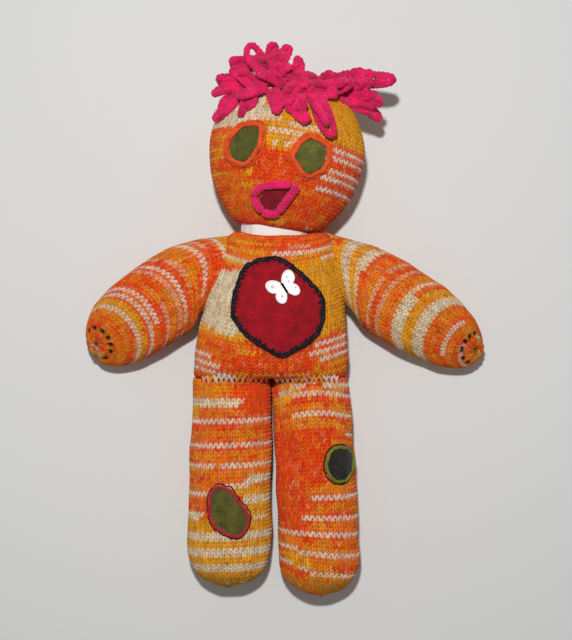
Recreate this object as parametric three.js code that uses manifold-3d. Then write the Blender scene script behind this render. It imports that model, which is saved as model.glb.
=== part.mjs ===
import * as THREE from "three";
import { mergeVertices } from "three/addons/utils/BufferGeometryUtils.js";
import Module from "manifold-3d";

// A stuffed knitted doll lying on its back. Millimetres, +Z up from the surface that it lies on,
// +Y towards the head, +X towards the doll's left hand. The origin is under the middle of the body.

const wasm = await Module();
wasm.setup();

// Materials and gaps
const GAP = 0.3; // between separate pieces
const KNIT = 2; // thickness of the knitted fabric
const COTTON = 1.2; // thickness of the white neck fabric
const FELT = 1.3; // thickness of the felt
const REST_CUT = 0.5; // how much the surface flattens each back
const ROUNDNESS = 2.25; // exponent of the superellipse sections
const SIDES = 18; // facets round a section
const OUTLINE_STEPS = 24; // facets round a felt piece

// Body
const TORSO_HEIGHT = 87.5;
const HIPS_BELOW_ORIGIN = 43.8;
const SHOULDER_WIDTH = 63;
const HIP_WIDTH = 92;
const BELLY_DEPTH = 62;
const HIP_DEPTH = 50;
const SHOULDER_DEPTH = 55;
const HIPS_X = -0.5; // middle of the hips
const TORSO_LEAN = 6.5; // how far the shoulders sit towards the doll's left of the hips
const TOP_ROUND_SIDE = 5; // rounding of the top edge seen from the front
const TOP_ROUND_DEPTH = 8; // and seen from the side

// Neck
const NECK_WIDTH = 34;
const NECK_GAP = 2.4; // how much of the neck shows
const NECK_TUCK = 9; // how much of it is inside the head
const NECK_Z = 31; // height of the neck's axis over the surface
const NECK_X = 3.2;

// Head
const HEAD_WIDTH = 91;
const HEAD_DEPTH = 77;
const HEAD_LENGTH = 91.5;
const HEAD_WIDEST = 46; // distance of the widest place from the neck
const CHIN_REACH = 54; // length of the lower half ellipse, which the neck cuts off
const HEAD_LEAN = 8.5; // degrees towards the doll's left
const EYE_SPACING = 38;
const EYE_HEIGHT = 41.9; // along the head from the neck
const EYE_SLOPE = 10.5; // degrees, the line through both eyes leans a little more than the head
const MOUTH_HEIGHT = 14.3;
const FACE_SHIFT = -4.5; // the face is a little off the middle, towards the doll's right
const MOUTH_SHIFT = 2.3;

// Arms: the armhole seam has a length and a slope, and then the arm drops by two angles in degrees
const RIGHT_ARM = {
  side: -1, width: 50, depth: 45, upper: 30, lower: 62.5, seam: 48, seamSlope: 19, drop: 14, handDrop: 41,
};
const LEFT_ARM = {
  side: 1, width: 47, depth: 44, upper: 28, lower: 73, seam: 42, seamSlope: 14, drop: 25, handDrop: 33.5,
};
const SEAM_BELOW_TOP = 1;
const SEAM_INSET = 3; // from the side of the shoulders
const ARM_TUCK = 6; // how far the arm reaches under the swelling side of the body
const ROOT = -0.1; // the section at the end of that reach
const HAND_LIFT = 38; // degrees that the gathered hand faces up
const HAND_START = 0.64;

// Legs
const RIGHT_LEG = { side: -1, topWidth: 47, width: 49.5, depth: 46, length: 126, splay: 1.2 };
const LEFT_LEG = { side: 1, topWidth: 45.5, width: 48, depth: 46, length: 131.2, splay: 2.9 };
const LEG_TOP_DEPTH = 42;
const CROTCH_X = 1.2;
const CROTCH_GAP = 1;
const FOOT_START = 0.83;

// Yarn and button
const OUTLINE_YARN = 2.6; // round the eyes
const LIP_YARN = 5;
const STITCH_YARN = 2.2; // round the patches
const GATHER_YARN = 1.4;
const GATHER_RING = 5; // across the yarn's middle
const HAIR_YARN = 3.6;
const BUTTON_SPAN = 18.4;
const BUTTON_THICK = 2;
const BUTTON_TURN = 32; // degrees
const BUTTON_FROM_PATCH = [3.4, 10.8];
const THREAD = 1.3;
const THREAD_LENGTH = 8.6;

// Felt outlines, each round its own middle
const CHEST_PATCH = {
  at: [5, -1.5],
  outline: [
    [-4.7, 28.6], [4, 26.6], [18.5, 14.5], [25, 5.5], [25.8, -4.8], [23.4, -14.6], [15.6, -22],
    [3, -28.6], [-3, -26.6], [-17, -17.6], [-25.4, -7.6], [-26.6, -4], [-25.6, 5.4], [-20.6, 20.6],
    [-15.6, 25.4],
  ],
};
const RIGHT_EYE = [
  [-1.2, 8.9], [7.5, 9.6], [8.3, 4.9], [6.7, -2.2], [0.4, -9.3], [-7.1, -6.2], [-8.3, 0.2], [-5.9, 4.1],
];
const LEFT_EYE = [
  [-0.7, 9.3], [3.3, 8.1], [8, 4.9], [8.4, 1], [7.2, -4.5], [3.3, -7.6], [-2.3, -9.2], [-7.8, -2.1],
  [-9, 0.3], [-5.4, 5.7],
];
const MOUTH = [[-2.9, 5.2], [8.4, 5.6], [8.2, 2.9], [1.2, -5.1], [-4.4, -5.1], [-6.8, 0.5]];
const RIGHT_KNEE_PATCH = {
  at: [0, 78.4],
  outline: [
    [-4.7, 14.8], [1, 12.6], [6, 5.5], [10.6, -0.2], [11.8, -5.3], [8.9, -12.4], [4.1, -15], [-1.2, -13.1],
    [-7.7, -8.9], [-10.1, -3.8], [-10.8, 3.3], [-10.5, 9], [-8, 13.4],
  ],
};
const LEFT_KNEE_PATCH = {
  at: [14, 51.2],
  outline: [
    [0, 10], [5.6, 7.5], [7.7, 1.6], [6.7, -5.8], [2.6, -10.6], [-3, -10.1], [-6.7, -5.3], [-7.7, 1.6],
    [-5.1, 8],
  ],
};

const radians = THREE.MathUtils.degToRad;
const lerp = THREE.MathUtils.lerp;
const smooth = (v) => THREE.MathUtils.smoothstep(v, 0, 1);
const Z_AXIS = new THREE.Vector3(0, 0, 1);
const SPACE = 1000; // larger than the doll, for half spaces

const torsoBottom = -HIPS_BELOW_ORIGIN;
const torsoTop = torsoBottom + TORSO_HEIGHT;
const headBottom = torsoTop + NECK_GAP;
const neckRadius = NECK_WIDTH / 2;

// Solids

function solidOf(geometry) {
  const bare = geometry.clone();
  bare.deleteAttribute("normal");
  bare.deleteAttribute("uv");
  const merged = mergeVertices(bare, 1e-4);
  return new wasm.Manifold(
    new wasm.Mesh({
      numProp: 3,
      vertProperties: merged.attributes.position.array,
      triVerts: new Uint32Array(merged.index.array),
    }),
  );
}

function geometryOf(solid) {
  const mesh = solid.getMesh();
  const geometry = new THREE.BufferGeometry();
  geometry.setAttribute("position", new THREE.BufferAttribute(new Float32Array(mesh.vertProperties), 3));
  geometry.setIndex(new THREE.BufferAttribute(new Uint32Array(mesh.triVerts), 1));
  const faceted = geometry.toNonIndexed();
  faceted.computeVertexNormals();
  return faceted;
}

// A box between two heights along one axis, wide enough to cut the whole doll.
function slab(axis, low, high) {
  const size = [SPACE, SPACE, SPACE];
  size["xyz".indexOf(axis)] = high - low;
  const box = new THREE.BoxGeometry(...size);
  box.translate(...["x", "y", "z"].map((name) => (name === axis ? (low + high) / 2 : 0)));
  return solidOf(box);
}

const belowSurface = slab("z", -SPACE, 0);

// A cylinder along Y on the neck's axis.
function neckCylinder(radius, low, high) {
  const cylinder = new THREE.CylinderGeometry(radius, radius, high - low, 2 * SIDES);
  cylinder.translate(NECK_X, (low + high) / 2, NECK_Z);
  return solidOf(cylinder);
}

const middleOf = (ring) =>
  ring.reduce((sum, p) => sum.add(p), new THREE.Vector3()).divideScalar(ring.length);

// Joins rings of points, all of one count, to a closed skin. Each end is a flat fan or a point.
function closedSkin(stack) {
  const travel = middleOf(stack[stack.length - 1]).sub(middleOf(stack[0]));
  const widest = stack[Math.floor(stack.length / 2)];
  const heart = middleOf(widest);
  const turn = widest[0].clone().sub(heart).cross(widest[1].clone().sub(heart));
  const rings = turn.dot(travel) > 0 ? stack : [...stack].reverse();
  const count = rings[0].length;
  const ends = [middleOf(rings[0]), middleOf(rings[rings.length - 1])];
  const points = [...rings.flat(), ...ends];
  const index = [];
  for (let r = 0; r + 1 < rings.length; r++) {
    for (let k = 0; k < count; k++) {
      const a = r * count + k;
      const b = r * count + ((k + 1) % count);
      index.push(a, b, b + count, a, b + count, a + count);
    }
  }
  const last = (rings.length - 1) * count;
  for (let k = 0; k < count; k++) {
    const next = (k + 1) % count;
    index.push(points.length - 2, next, k);
    index.push(points.length - 1, last + k, last + next);
  }
  const geometry = new THREE.BufferGeometry().setFromPoints(points);
  geometry.setIndex(index);
  return geometry;
}

// Stuffed forms: section(t) gives the middle, directions and half sizes of the section at t

const roundedEnd = (u, power) => Math.pow(Math.max(0, 1 - Math.pow(u, power)), 1 / power);

function superellipse(angle) {
  const c = Math.cos(angle);
  const s = Math.sin(angle);
  const power = 2 / ROUNDNESS;
  return [Math.sign(c) * Math.abs(c) ** power, Math.sign(s) * Math.abs(s) ** power];
}

function sectionRing(section, grow, sides) {
  const ring = [];
  for (let k = 0; k < sides; k++) {
    const [c, s] = superellipse((2 * Math.PI * k) / sides);
    const along = section.across.clone().multiplyScalar(c * Math.max(0.05, section.halfWidth + grow));
    const up = section.up.clone().multiplyScalar(s * Math.max(0.05, section.halfDepth + grow));
    ring.push(section.middle.clone().add(along).add(up));
  }
  return ring;
}

// The form's solid, grown or shrunk all round by one distance.
function stuffedSolid(form, grow, sides = SIDES) {
  const rings = form.stations.map((t) => sectionRing(form.section(t, grow), grow, sides));
  return solidOf(closedSkin(rings));
}

const torsoForm = {
  stations: [0, 0.08, 0.2, 0.35, 0.5, 0.65, 0.8, 0.91, 0.955, 0.985, 1],
  section(t) {
    const rise = Math.sin((Math.PI / 2) * (1 - t));
    const swell = Math.sin(Math.PI * Math.min(1, t + 0.06)) ** 0.8;
    const endDepth = lerp(HIP_DEPTH, SHOULDER_DEPTH, t);
    const depth = lerp(endDepth, BELLY_DEPTH, t < 0.94 ? swell : 0) / 2;
    const corner = Math.max(0, 1 - ((1 - t) * TORSO_HEIGHT) / TOP_ROUND_DEPTH);
    const drawnIn = 1 - Math.sqrt(1 - corner * corner);
    const halfDepth = depth - TOP_ROUND_DEPTH * drawnIn;
    return {
      middle: new THREE.Vector3(
        HIPS_X + t * TORSO_LEAN,
        torsoBottom + t * TORSO_HEIGHT,
        lerp(depth - REST_CUT, NECK_Z, drawnIn),
      ),
      across: new THREE.Vector3(1, 0, 0),
      up: Z_AXIS.clone(),
      halfWidth: lerp(SHOULDER_WIDTH, HIP_WIDTH, rise) / 2 - TOP_ROUND_SIDE * drawnIn,
      halfDepth,
    };
  },
};

const leanDirection = new THREE.Vector3(Math.sin(radians(HEAD_LEAN)), Math.cos(radians(HEAD_LEAN)), 0);
const leanAcross = new THREE.Vector3(leanDirection.y, -leanDirection.x, 0);

// Half width or depth of the head, as a share of its widest, at a distance from the neck.
function headSwell(distance, grow) {
  return distance < HEAD_WIDEST
    ? Math.sqrt(Math.max(0, 1 - ((HEAD_WIDEST - distance) / (CHIN_REACH + grow)) ** 2))
    : roundedEnd(Math.min(1, (distance - HEAD_WIDEST) / (HEAD_LENGTH + grow - HEAD_WIDEST)), 2);
}

const headForm = {
  stations: [-0.06, 0, 0.05, 0.12, 0.22, 0.34, 0.48, 0.6, 0.72, 0.82, 0.9, 0.955, 0.988, 1],
  section(t, grow = 0) {
    const distance = Math.min(t * HEAD_LENGTH, t * (HEAD_LENGTH + grow));
    const swell = headSwell(distance, grow);
    const middleZ = HEAD_DEPTH / 2 - REST_CUT;
    const middle = new THREE.Vector3(NECK_X, headBottom, 0).addScaledVector(leanDirection, distance);
    middle.z = lerp(NECK_Z, middleZ, smooth(distance / HEAD_WIDEST));
    const scale = (half) => (half + grow) * swell - grow;
    return {
      middle,
      across: leanAcross.clone(),
      up: Z_AXIS.clone(),
      halfWidth: scale(HEAD_WIDTH / 2),
      halfDepth: scale(HEAD_DEPTH / 2),
    };
  },
};

// The slope of the armhole seam and its middle, on the side of the body.
function armRoot(arm) {
  const slope = radians(arm.seamSlope);
  const down = new THREE.Vector3(arm.side * Math.sin(slope), -Math.cos(slope), 0);
  const top = torsoForm.section(1 - SEAM_BELOW_TOP / TORSO_HEIGHT).middle;
  top.x += arm.side * (SHOULDER_WIDTH / 2 - SEAM_INSET);
  const middle = top.addScaledVector(down, arm.seam / 2);
  middle.z = 0;
  const inwards = new THREE.Vector3(-down.y, down.x, 0).multiplyScalar(-arm.side);
  return { down, inwards, middle };
}

function armForm(arm) {
  const root = armRoot(arm);
  const dropped = (degrees) =>
    new THREE.Vector3(arm.side * Math.cos(radians(degrees)), -Math.sin(radians(degrees)), 0);
  const elbow = root.middle.clone().addScaledVector(dropped(arm.drop), arm.upper);
  const hand = elbow.clone().addScaledVector(dropped(arm.handDrop), arm.lower);
  const path = new THREE.QuadraticBezierCurve3(root.middle, elbow, hand);
  const length = path.getLength();
  return {
    root,
    stations: [ROOT, 0, 0.14, 0.28, 0.42, 0.55, 0.66, 0.76, 0.85, 0.92, 0.97, 1],
    section(t, grow = 0) {
      const reach = t <= 0.5 ? t : t + (t - 0.5) * 2 * (grow / length);
      const middle = path.getPoint(Math.max(0, reach));
      if (t < 0) middle.addScaledVector(root.inwards, ARM_TUCK * (t / ROOT));
      const forward = path.getTangent(THREE.MathUtils.clamp(reach, 0, 1));
      const square = new THREE.Vector3(forward.y, -forward.x, 0).multiplyScalar(arm.side);
      const across = root.down.clone().lerp(square, smooth(t / 0.6)).normalize();
      const u = Math.max(0, (t - HAND_START) / (1 - HAND_START));
      const end = roundedEnd(u, 2.3);
      const lift = radians(HAND_LIFT) * smooth(u);
      const up = Z_AXIS.clone().multiplyScalar(Math.cos(lift)).addScaledVector(forward, -Math.sin(lift));
      const swell = 0.95 + 0.05 * Math.sin(Math.PI * Math.min(1, Math.max(0, t) / 0.8));
      const half = (size) => ((size / 2) * swell + grow) * end - grow;
      middle.z = arm.depth / 2 - REST_CUT + 2 * smooth(u);
      return { middle, across, up, forward, lift, halfWidth: half(arm.width), halfDepth: half(arm.depth) };
    },
  };
}

function legForm(leg) {
  const splay = radians(leg.splay);
  const down = new THREE.Vector3(leg.side * Math.sin(splay), -Math.cos(splay), 0);
  const topMiddle = CROTCH_X + (leg.side * (leg.topWidth + CROTCH_GAP)) / 2;
  return {
    down,
    stations: [-0.05, 0, 0.06, 0.14, 0.3, 0.5, 0.7, FOOT_START, 0.88, 0.93, 0.97, 0.99, 1],
    section(t, grow = 0) {
      const reach = t <= 0.5 ? t : t + (t - 0.5) * 2 * (grow / leg.length);
      const middle = new THREE.Vector3(topMiddle, torsoBottom, 0).addScaledVector(down, reach * leg.length);
      const u = Math.max(0, (t - FOOT_START) / (1 - FOOT_START));
      const end = roundedEnd(u, 2.1);
      const fullDepth = lerp(LEG_TOP_DEPTH, leg.depth, smooth(t / 0.15));
      const half = (size) => (size / 2 + grow) * end - grow;
      middle.z = fullDepth / 2 - REST_CUT;
      return {
        middle,
        across: new THREE.Vector3(-down.y, down.x, 0),
        up: Z_AXIS.clone(),
        halfWidth: half(lerp(leg.topWidth, leg.width, smooth(t / 0.6))),
        halfDepth: half(fullDepth),
      };
    },
  };
}

// A form whose sections are square to a straight axis has one front height at each place.
function frontHeight(form, origin, direction, length, x, y, grow) {
  const from = new THREE.Vector3(x - origin.x, y - origin.y, 0);
  const section = form.section(from.dot(direction) / length, grow);
  const offset = (x - section.middle.x) * section.across.x + (y - section.middle.y) * section.across.y;
  const share = Math.min(0.985, Math.abs(offset) / (section.halfWidth + grow));
  const height = (section.halfDepth + grow) * (1 - share ** ROUNDNESS) ** (1 / ROUNDNESS);
  return section.middle.z + height;
}

const torsoFront = (x, y, grow) =>
  frontHeight(
    torsoForm, new THREE.Vector3(0, torsoBottom, 0), new THREE.Vector3(0, 1, 0), TORSO_HEIGHT, x, y, grow,
  );
const headFront = (x, y, grow) =>
  frontHeight(headForm, new THREE.Vector3(NECK_X, headBottom, 0), leanDirection, HEAD_LENGTH, x, y, grow);

function legFront(leg) {
  const form = legForm(leg);
  const top = form.section(0).middle;
  return (x, y, grow) => frontHeight(form, top, form.down, leg.length, x, y, grow);
}

// Knitted skins and their filling

const torsoSolid = stuffedSolid(torsoForm, 0);
const roomForTorso = stuffedSolid(torsoForm, GAP);

function makeTorso() {
  const inner = stuffedSolid(torsoForm, -KNIT).subtract(slab("y", torsoTop - KNIT, SPACE));
  const hollow = inner.add(neckCylinder(neckRadius - KNIT - GAP, torsoTop - 2 * KNIT, SPACE));
  const skin = torsoSolid.subtract(hollow).subtract(belowSurface);
  const filling = stuffedSolid(torsoForm, -KNIT - GAP)
    .subtract(slab("y", torsoTop - KNIT - GAP, SPACE))
    .subtract(belowSurface);
  return { skin, filling };
}

function makeNeck() {
  const bottom = torsoTop + GAP;
  const top = headBottom + NECK_TUCK;
  const cover = neckCylinder(neckRadius, bottom, top).subtract(
    neckCylinder(neckRadius - COTTON, bottom - 1, top + 1),
  );
  return { cover, filling: neckCylinder(neckRadius - COTTON - GAP, bottom, top) };
}

function makeHead() {
  const neckRoom = neckCylinder(neckRadius + GAP, headBottom - KNIT, headBottom + NECK_TUCK + GAP);
  const cutAt = (solid, height) => solid.subtract(slab("y", -SPACE, height)).subtract(belowSurface);
  const outer = cutAt(stuffedSolid(headForm, 0, SIDES + 4), headBottom);
  const inner = cutAt(stuffedSolid(headForm, -KNIT, SIDES + 4), headBottom + KNIT);
  const filling = cutAt(stuffedSolid(headForm, -KNIT - GAP, SIDES + 4), headBottom + KNIT + GAP);
  return { skin: outer.subtract(inner).subtract(neckRoom), filling: filling.subtract(neckRoom) };
}

// An arm is cut by the swelling side of the body that it is sewn to.
function makeArm(arm) {
  const form = armForm(arm);
  const trim = (solid) => solid.subtract(roomForTorso).subtract(belowSurface);
  const outer = trim(stuffedSolid(form, 0));
  const hollow = openedAt(form, -KNIT, form.root.inwards);
  const filling = trim(stuffedSolid(form, -KNIT - GAP));
  return { skin: outer.subtract(hollow), filling };
}

// The inside of a sleeve, with one more section outside its end so that the sleeve is open there.
function openedAt(form, grow, shift) {
  const rings = form.stations.map((t) => sectionRing(form.section(t, grow), grow, SIDES));
  const outside = rings[0].map((point) => point.clone().add(shift));
  return solidOf(closedSkin([outside, ...rings]));
}

function makeLeg(leg) {
  const form = legForm(leg);
  const above = slab("y", torsoBottom - GAP, SPACE);
  const outer = stuffedSolid(form, 0).subtract(above).subtract(belowSurface);
  const inner = stuffedSolid(form, -KNIT);
  const filling = stuffedSolid(form, -KNIT - GAP).subtract(above);
  return { skin: outer.subtract(inner), filling };
}

// Felt and yarn

function smoothOutline(outline, at, widen, count) {
  const curve = new THREE.CatmullRomCurve3(
    outline.map(([x, y]) => new THREE.Vector3(x, y, 0)), true, "centripetal",
  );
  return curve.getPoints(count).slice(0, count).map((point) => {
    const distance = Math.hypot(point.x, point.y);
    const scale = (distance + widen) / distance;
    return new THREE.Vector2(at.x + point.x * scale, at.y + point.y * scale);
  });
}

// A felt piece that lies on a surface and follows it.
function feltOn(front, outline, at, widen, shares = [1, 0.55, 0.05]) {
  const loop = smoothOutline(outline, at, widen, OUTLINE_STEPS);
  const middle = new THREE.Vector2(at.x, at.y);
  const levels = (grow, order) =>
    order.map((share) =>
      loop.map((point) => {
        const place = middle.clone().lerp(point, share);
        return new THREE.Vector3(place.x, place.y, front(place.x, place.y, grow));
      }),
    );
  const under = levels(GAP, [...shares].reverse());
  const over = levels(GAP + FELT, shares);
  return solidOf(closedSkin([...under, ...over]));
}

// A closed loop of yarn that lies on a surface.
function yarnLoopOn(front, outline, at, widen, thickness, lift) {
  const radius = thickness / 2;
  const path = smoothOutline(outline, at, widen, OUTLINE_STEPS).map((p) => {
    const rise = (dx, dy) => front(p.x + dx, p.y + dy, lift) - front(p.x - dx, p.y - dy, lift);
    const normal = new THREE.Vector3(-rise(radius, 0), -rise(0, radius), 2 * radius).normalize();
    return new THREE.Vector3(p.x, p.y, front(p.x, p.y, lift)).addScaledVector(normal, radius);
  });
  return solidOf(closedTube(path, radius, 5));
}

function closedTube(path, radius, sides) {
  const count = path.length;
  const points = [];
  const index = [];
  path.forEach((point, i) => {
    const along = path[(i + 1) % count].clone().sub(path[(i + count - 1) % count]).normalize();
    const out = along.clone().cross(Z_AXIS).normalize();
    const up = out.clone().cross(along);
    for (let k = 0; k < sides; k++) {
      const angle = (2 * Math.PI * k) / sides;
      const place = point.clone().addScaledVector(out, radius * Math.cos(angle));
      points.push(place.addScaledVector(up, radius * Math.sin(angle)));
    }
  });
  for (let i = 0; i < count; i++) {
    for (let k = 0; k < sides; k++) {
      const a = i * sides + k;
      const b = i * sides + ((k + 1) % sides);
      const next = ((i + 1) % count) * sides;
      index.push(a, next + k, b, b, next + k, next + ((k + 1) % sides));
    }
  }
  const geometry = new THREE.BufferGeometry().setFromPoints(points);
  geometry.setIndex(index);
  return geometry;
}

const EDGE_LIFT = 2 * GAP + FELT; // a stitch that lies over the edge of a felt piece

// Yarn drawn through the last stitches, a small ring against the closed end.
function gatherRing(place, facing) {
  const ring = new THREE.TorusGeometry((GATHER_RING - GATHER_YARN) / 2, GATHER_YARN / 2, 5, 10);
  ring.applyQuaternion(new THREE.Quaternion().setFromUnitVectors(Z_AXIS, facing));
  const middle = place.clone().addScaledVector(facing, GATHER_YARN / 2 + GAP);
  ring.translate(middle.x, middle.y, middle.z);
  return solidOf(ring);
}

function handGather(arm) {
  const end = armForm(arm).section(1);
  const facing = end.forward.clone().multiplyScalar(Math.cos(end.lift));
  return gatherRing(end.middle, facing.addScaledVector(Z_AXIS, Math.sin(end.lift)));
}

function footGather(leg) {
  const form = legForm(leg);
  return gatherRing(form.section(1).middle, form.down);
}

// Face and patches

const inHead = (across, along) => {
  const place = new THREE.Vector3(NECK_X, headBottom, 0);
  return place.addScaledVector(leanAcross, across).addScaledVector(leanDirection, along);
};
const eyeLine = new THREE.Vector3(Math.cos(radians(EYE_SLOPE)), -Math.sin(radians(EYE_SLOPE)), 0);
const eyeAt = (side) =>
  inHead(FACE_SHIFT, EYE_HEIGHT).addScaledVector(eyeLine, (side * EYE_SPACING) / 2);
const mouthAt = inHead(FACE_SHIFT + MOUTH_SHIFT, MOUTH_HEIGHT);

function makeEye(outline, at) {
  return {
    felt: feltOn(headFront, outline, at, 0),
    yarn: yarnLoopOn(headFront, outline, at, OUTLINE_YARN / 2 + 2 * GAP, OUTLINE_YARN, GAP),
  };
}

function patchOn(front, outline, at, yarn) {
  return {
    felt: feltOn(front, outline, at, -yarn / 2, [1, 0.8, 0.55, 0.3, 0.05]),
    yarn: yarnLoopOn(front, outline, at, -yarn / 2, yarn, EDGE_LIFT),
  };
}

function kneePatch(leg, patch) {
  const form = legForm(leg);
  const top = form.section(0).middle;
  const at = top.addScaledVector(form.down, patch.at[1]);
  at.x += patch.at[0];
  return patchOn(legFront(leg), patch.outline, at, STITCH_YARN);
}

// Button: two pairs of wing lobes, drawn as one outline about the middle
function buttonShape() {
  const half = BUTTON_SPAN / 2;
  const shape = new THREE.Shape();
  shape.moveTo(0, 0.35 * half);
  shape.bezierCurveTo(0.3 * half, 0.95 * half, half, 0.95 * half, half, 0.45 * half);
  shape.bezierCurveTo(half, 0.1 * half, 0.75 * half, 0, 0.62 * half, -0.02 * half);
  shape.bezierCurveTo(0.95 * half, -0.25 * half, 0.8 * half, -0.8 * half, 0.45 * half, -0.75 * half);
  shape.bezierCurveTo(0.2 * half, -0.7 * half, 0.08 * half, -0.5 * half, 0, -0.3 * half);
  shape.bezierCurveTo(-0.08 * half, -0.5 * half, -0.2 * half, -0.7 * half, -0.45 * half, -0.75 * half);
  shape.bezierCurveTo(-0.8 * half, -0.8 * half, -0.95 * half, -0.25 * half, -0.62 * half, -0.02 * half);
  shape.bezierCurveTo(-0.75 * half, 0, -half, 0.1 * half, -half, 0.45 * half);
  shape.bezierCurveTo(-half, 0.95 * half, -0.3 * half, 0.95 * half, 0, 0.35 * half);
  return shape;
}

function buttonGroup() {
  const x = CHEST_PATCH.at[0] + BUTTON_FROM_PATCH[0];
  const y = CHEST_PATCH.at[1] + BUTTON_FROM_PATCH[1];
  const lift = GAP + FELT;
  const height = (dx, dy) => torsoFront(x + dx, y + dy, lift);
  const step = BUTTON_SPAN / 2;
  const tangentX = new THREE.Vector3(2 * step, 0, height(step, 0) - height(-step, 0)).normalize();
  const tangentY = new THREE.Vector3(0, 2 * step, height(0, step) - height(0, -step)).normalize();
  const group = new THREE.Group();
  group.quaternion.setFromUnitVectors(Z_AXIS, tangentX.cross(tangentY).normalize());
  group.position.set(x, y, height(0, 0) + GAP);
  group.rotateZ(radians(BUTTON_TURN));
  return group;
}

function makeButton() {
  const plate = new THREE.ExtrudeGeometry(buttonShape(), {
    depth: BUTTON_THICK, bevelEnabled: false, curveSegments: 6,
  });
  return solidOf(plate);
}

function makeThread() {
  const thread = new THREE.CapsuleGeometry(THREAD / 2, THREAD_LENGTH - THREAD, 3, 8);
  thread.translate(0, 0, BUTTON_THICK + GAP + THREAD / 2);
  return solidOf(thread);
}

// Hair: every loop runs from a root out to its tip and back. Places are in the head's own directions:
// across and along from the neck, with a height over the surface below where they leave the head.

const HAIR = {
  hair_right_bunch: {
    root: [-18.6, 73.5],
    loops: [
      { tip: [-41.7, 91.4, 50], width: 13 },
      { tip: [-26.1, 102, 50], width: 12 },
      { tip: [-15.5, 104, 58], width: 12 },
      { tip: [-1.5, 96.5, 62], width: 11 },
      { tip: [-47, 78.6, 58], width: 12 },
      { tip: [-46.5, 72.6, 52], width: 11 },
      { tip: [-42, 58.7, 55], width: 4 },
      { tip: [-27.4, 59.3, 70], width: 8 },
    ],
  },
  hair_fringe: {
    root: [3, 78],
    loops: [
      { tip: [-4.7, 63.2, 78], width: 8 },
      { tip: [2, 63.7, 79], width: 8 },
      { tip: [7.7, 60.5, 79], width: 8 },
      { tip: [22, 54.5, 80], width: 13 },
      { tip: [12, 92, 58], width: 9 },
    ],
  },
  hair_left_bunch: {
    root: [24.5, 80.5],
    loops: [
      { tip: [30, 98.4, 50], width: 11 },
      { tip: [39.2, 100.4, 48], width: 11 },
      { tip: [50.7, 100.1, 46], width: 13 },
      { tip: [55.2, 96.9, 40], width: 12 },
      { tip: [51, 82, 36], width: 12 },
      { tip: [51.3, 74.9, 30], width: 11 },
    ],
  },
};
const HAIR_KNOT = 6.5; // radius of the place where a bunch is tied and sewn on
const HAIR_CLEARANCE = HAIR_YARN / 2 + 1; // how far the yarn's middle stays off the head
const LOOP_STEPS = 10;
const YARN_SIDES = 5;

const tipPlace = ([across, along, height]) => inHead(across, along).setZ(height);

// A bunch is sewn on at the head's surface.
function rootPlace([across, along]) {
  const root = inHead(across, along);
  return root.setZ(headFront(root.x, root.y, HAIR_YARN / 2));
}

// Keeps a point of the hair outside the head.
function outsideHead(point) {
  const floor = headFront(point.x, point.y, HAIR_CLEARANCE);
  const from = new THREE.Vector3(point.x - NECK_X, point.y - headBottom, 0);
  const overHead =
    from.dot(leanDirection) < HEAD_LENGTH && Math.abs(from.dot(leanAcross)) < HEAD_WIDTH / 2 + HAIR_YARN;
  if (overHead && Number.isFinite(floor)) point.z = Math.max(point.z, floor);
  return point;
}

function hairLoop(root, tip, width) {
  const along = tip.clone().sub(root);
  const side = along.clone().cross(Z_AXIS).normalize();
  const points = [];
  for (let k = 0; k <= LOOP_STEPS; k++) {
    const turn = (2 * Math.PI * k) / LOOP_STEPS;
    const out = (1 - Math.cos(turn)) / 2;
    const aside = Math.sin(turn) * Math.sqrt(out) * (width / 2);
    points.push(outsideHead(root.clone().addScaledVector(along, out).addScaledVector(side, aside)));
  }
  const section = new THREE.Shape();
  for (let k = 0; k < YARN_SIDES; k++) {
    const angle = (2 * Math.PI * k) / YARN_SIDES;
    const corner = [(HAIR_YARN / 2) * Math.cos(angle), (HAIR_YARN / 2) * Math.sin(angle)];
    if (k) section.lineTo(...corner);
    else section.moveTo(...corner);
  }
  return new THREE.ExtrudeGeometry(section, {
    steps: LOOP_STEPS + 2, bevelEnabled: false, extrudePath: new THREE.CatmullRomCurve3(points),
  });
}

function makeHair(bunch, roomForHead) {
  const root = rootPlace(bunch.root);
  const knot = new THREE.SphereGeometry(HAIR_KNOT, 8, 6);
  knot.translate(root.x, root.y, root.z);
  let hair = solidOf(knot);
  for (const loop of bunch.loops) {
    hair = hair.add(solidOf(hairLoop(root, tipPlace(loop.tip), loop.width)));
  }
  return hair.subtract(roomForHead);
}

// Assembly

const COLOURS = {
  knit: "#d9661e", filling: "#efece4", cotton: "#f4f2ee", eyeFelt: "#50602a", eyeYarn: "#f2602a",
  mouthFelt: "#8a1230", lips: "#e62a6c", chestFelt: "#9c1a2c", black: "#15181a", button: "#f4f4ee",
  kneeFelt: "#50602a", kneeYarn: "#b82238", darkFelt: "#26242a", greenYarn: "#7c8420", hair: "#dd2464",
};

const doll = new THREE.Group();

function place(name, solid, colour, parent = doll, roughness = 0.95) {
  const material = new THREE.MeshStandardMaterial({ color: colour, roughness, metalness: 0 });
  const mesh = new THREE.Mesh(geometryOf(solid), material);
  mesh.name = name;
  parent.add(mesh);
}

function placeStuffed(name, { skin, filling }) {
  place(`${name}_skin`, skin, COLOURS.knit);
  place(`${name}_stuffing`, filling, COLOURS.filling);
}

placeStuffed("torso", makeTorso());
placeStuffed("head", makeHead());
const neck = makeNeck();
place("neck_cover", neck.cover, COLOURS.cotton);
place("neck_stuffing", neck.filling, COLOURS.filling);
for (const [name, arm, leg] of [["right", RIGHT_ARM, RIGHT_LEG], ["left", LEFT_ARM, LEFT_LEG]]) {
  placeStuffed(`${name}_arm`, makeArm(arm));
  placeStuffed(`${name}_leg`, makeLeg(leg));
  place(`${name}_hand_gather`, handGather(arm), COLOURS.knit);
  place(`${name}_foot_gather`, footGather(leg), COLOURS.knit);
}

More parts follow.
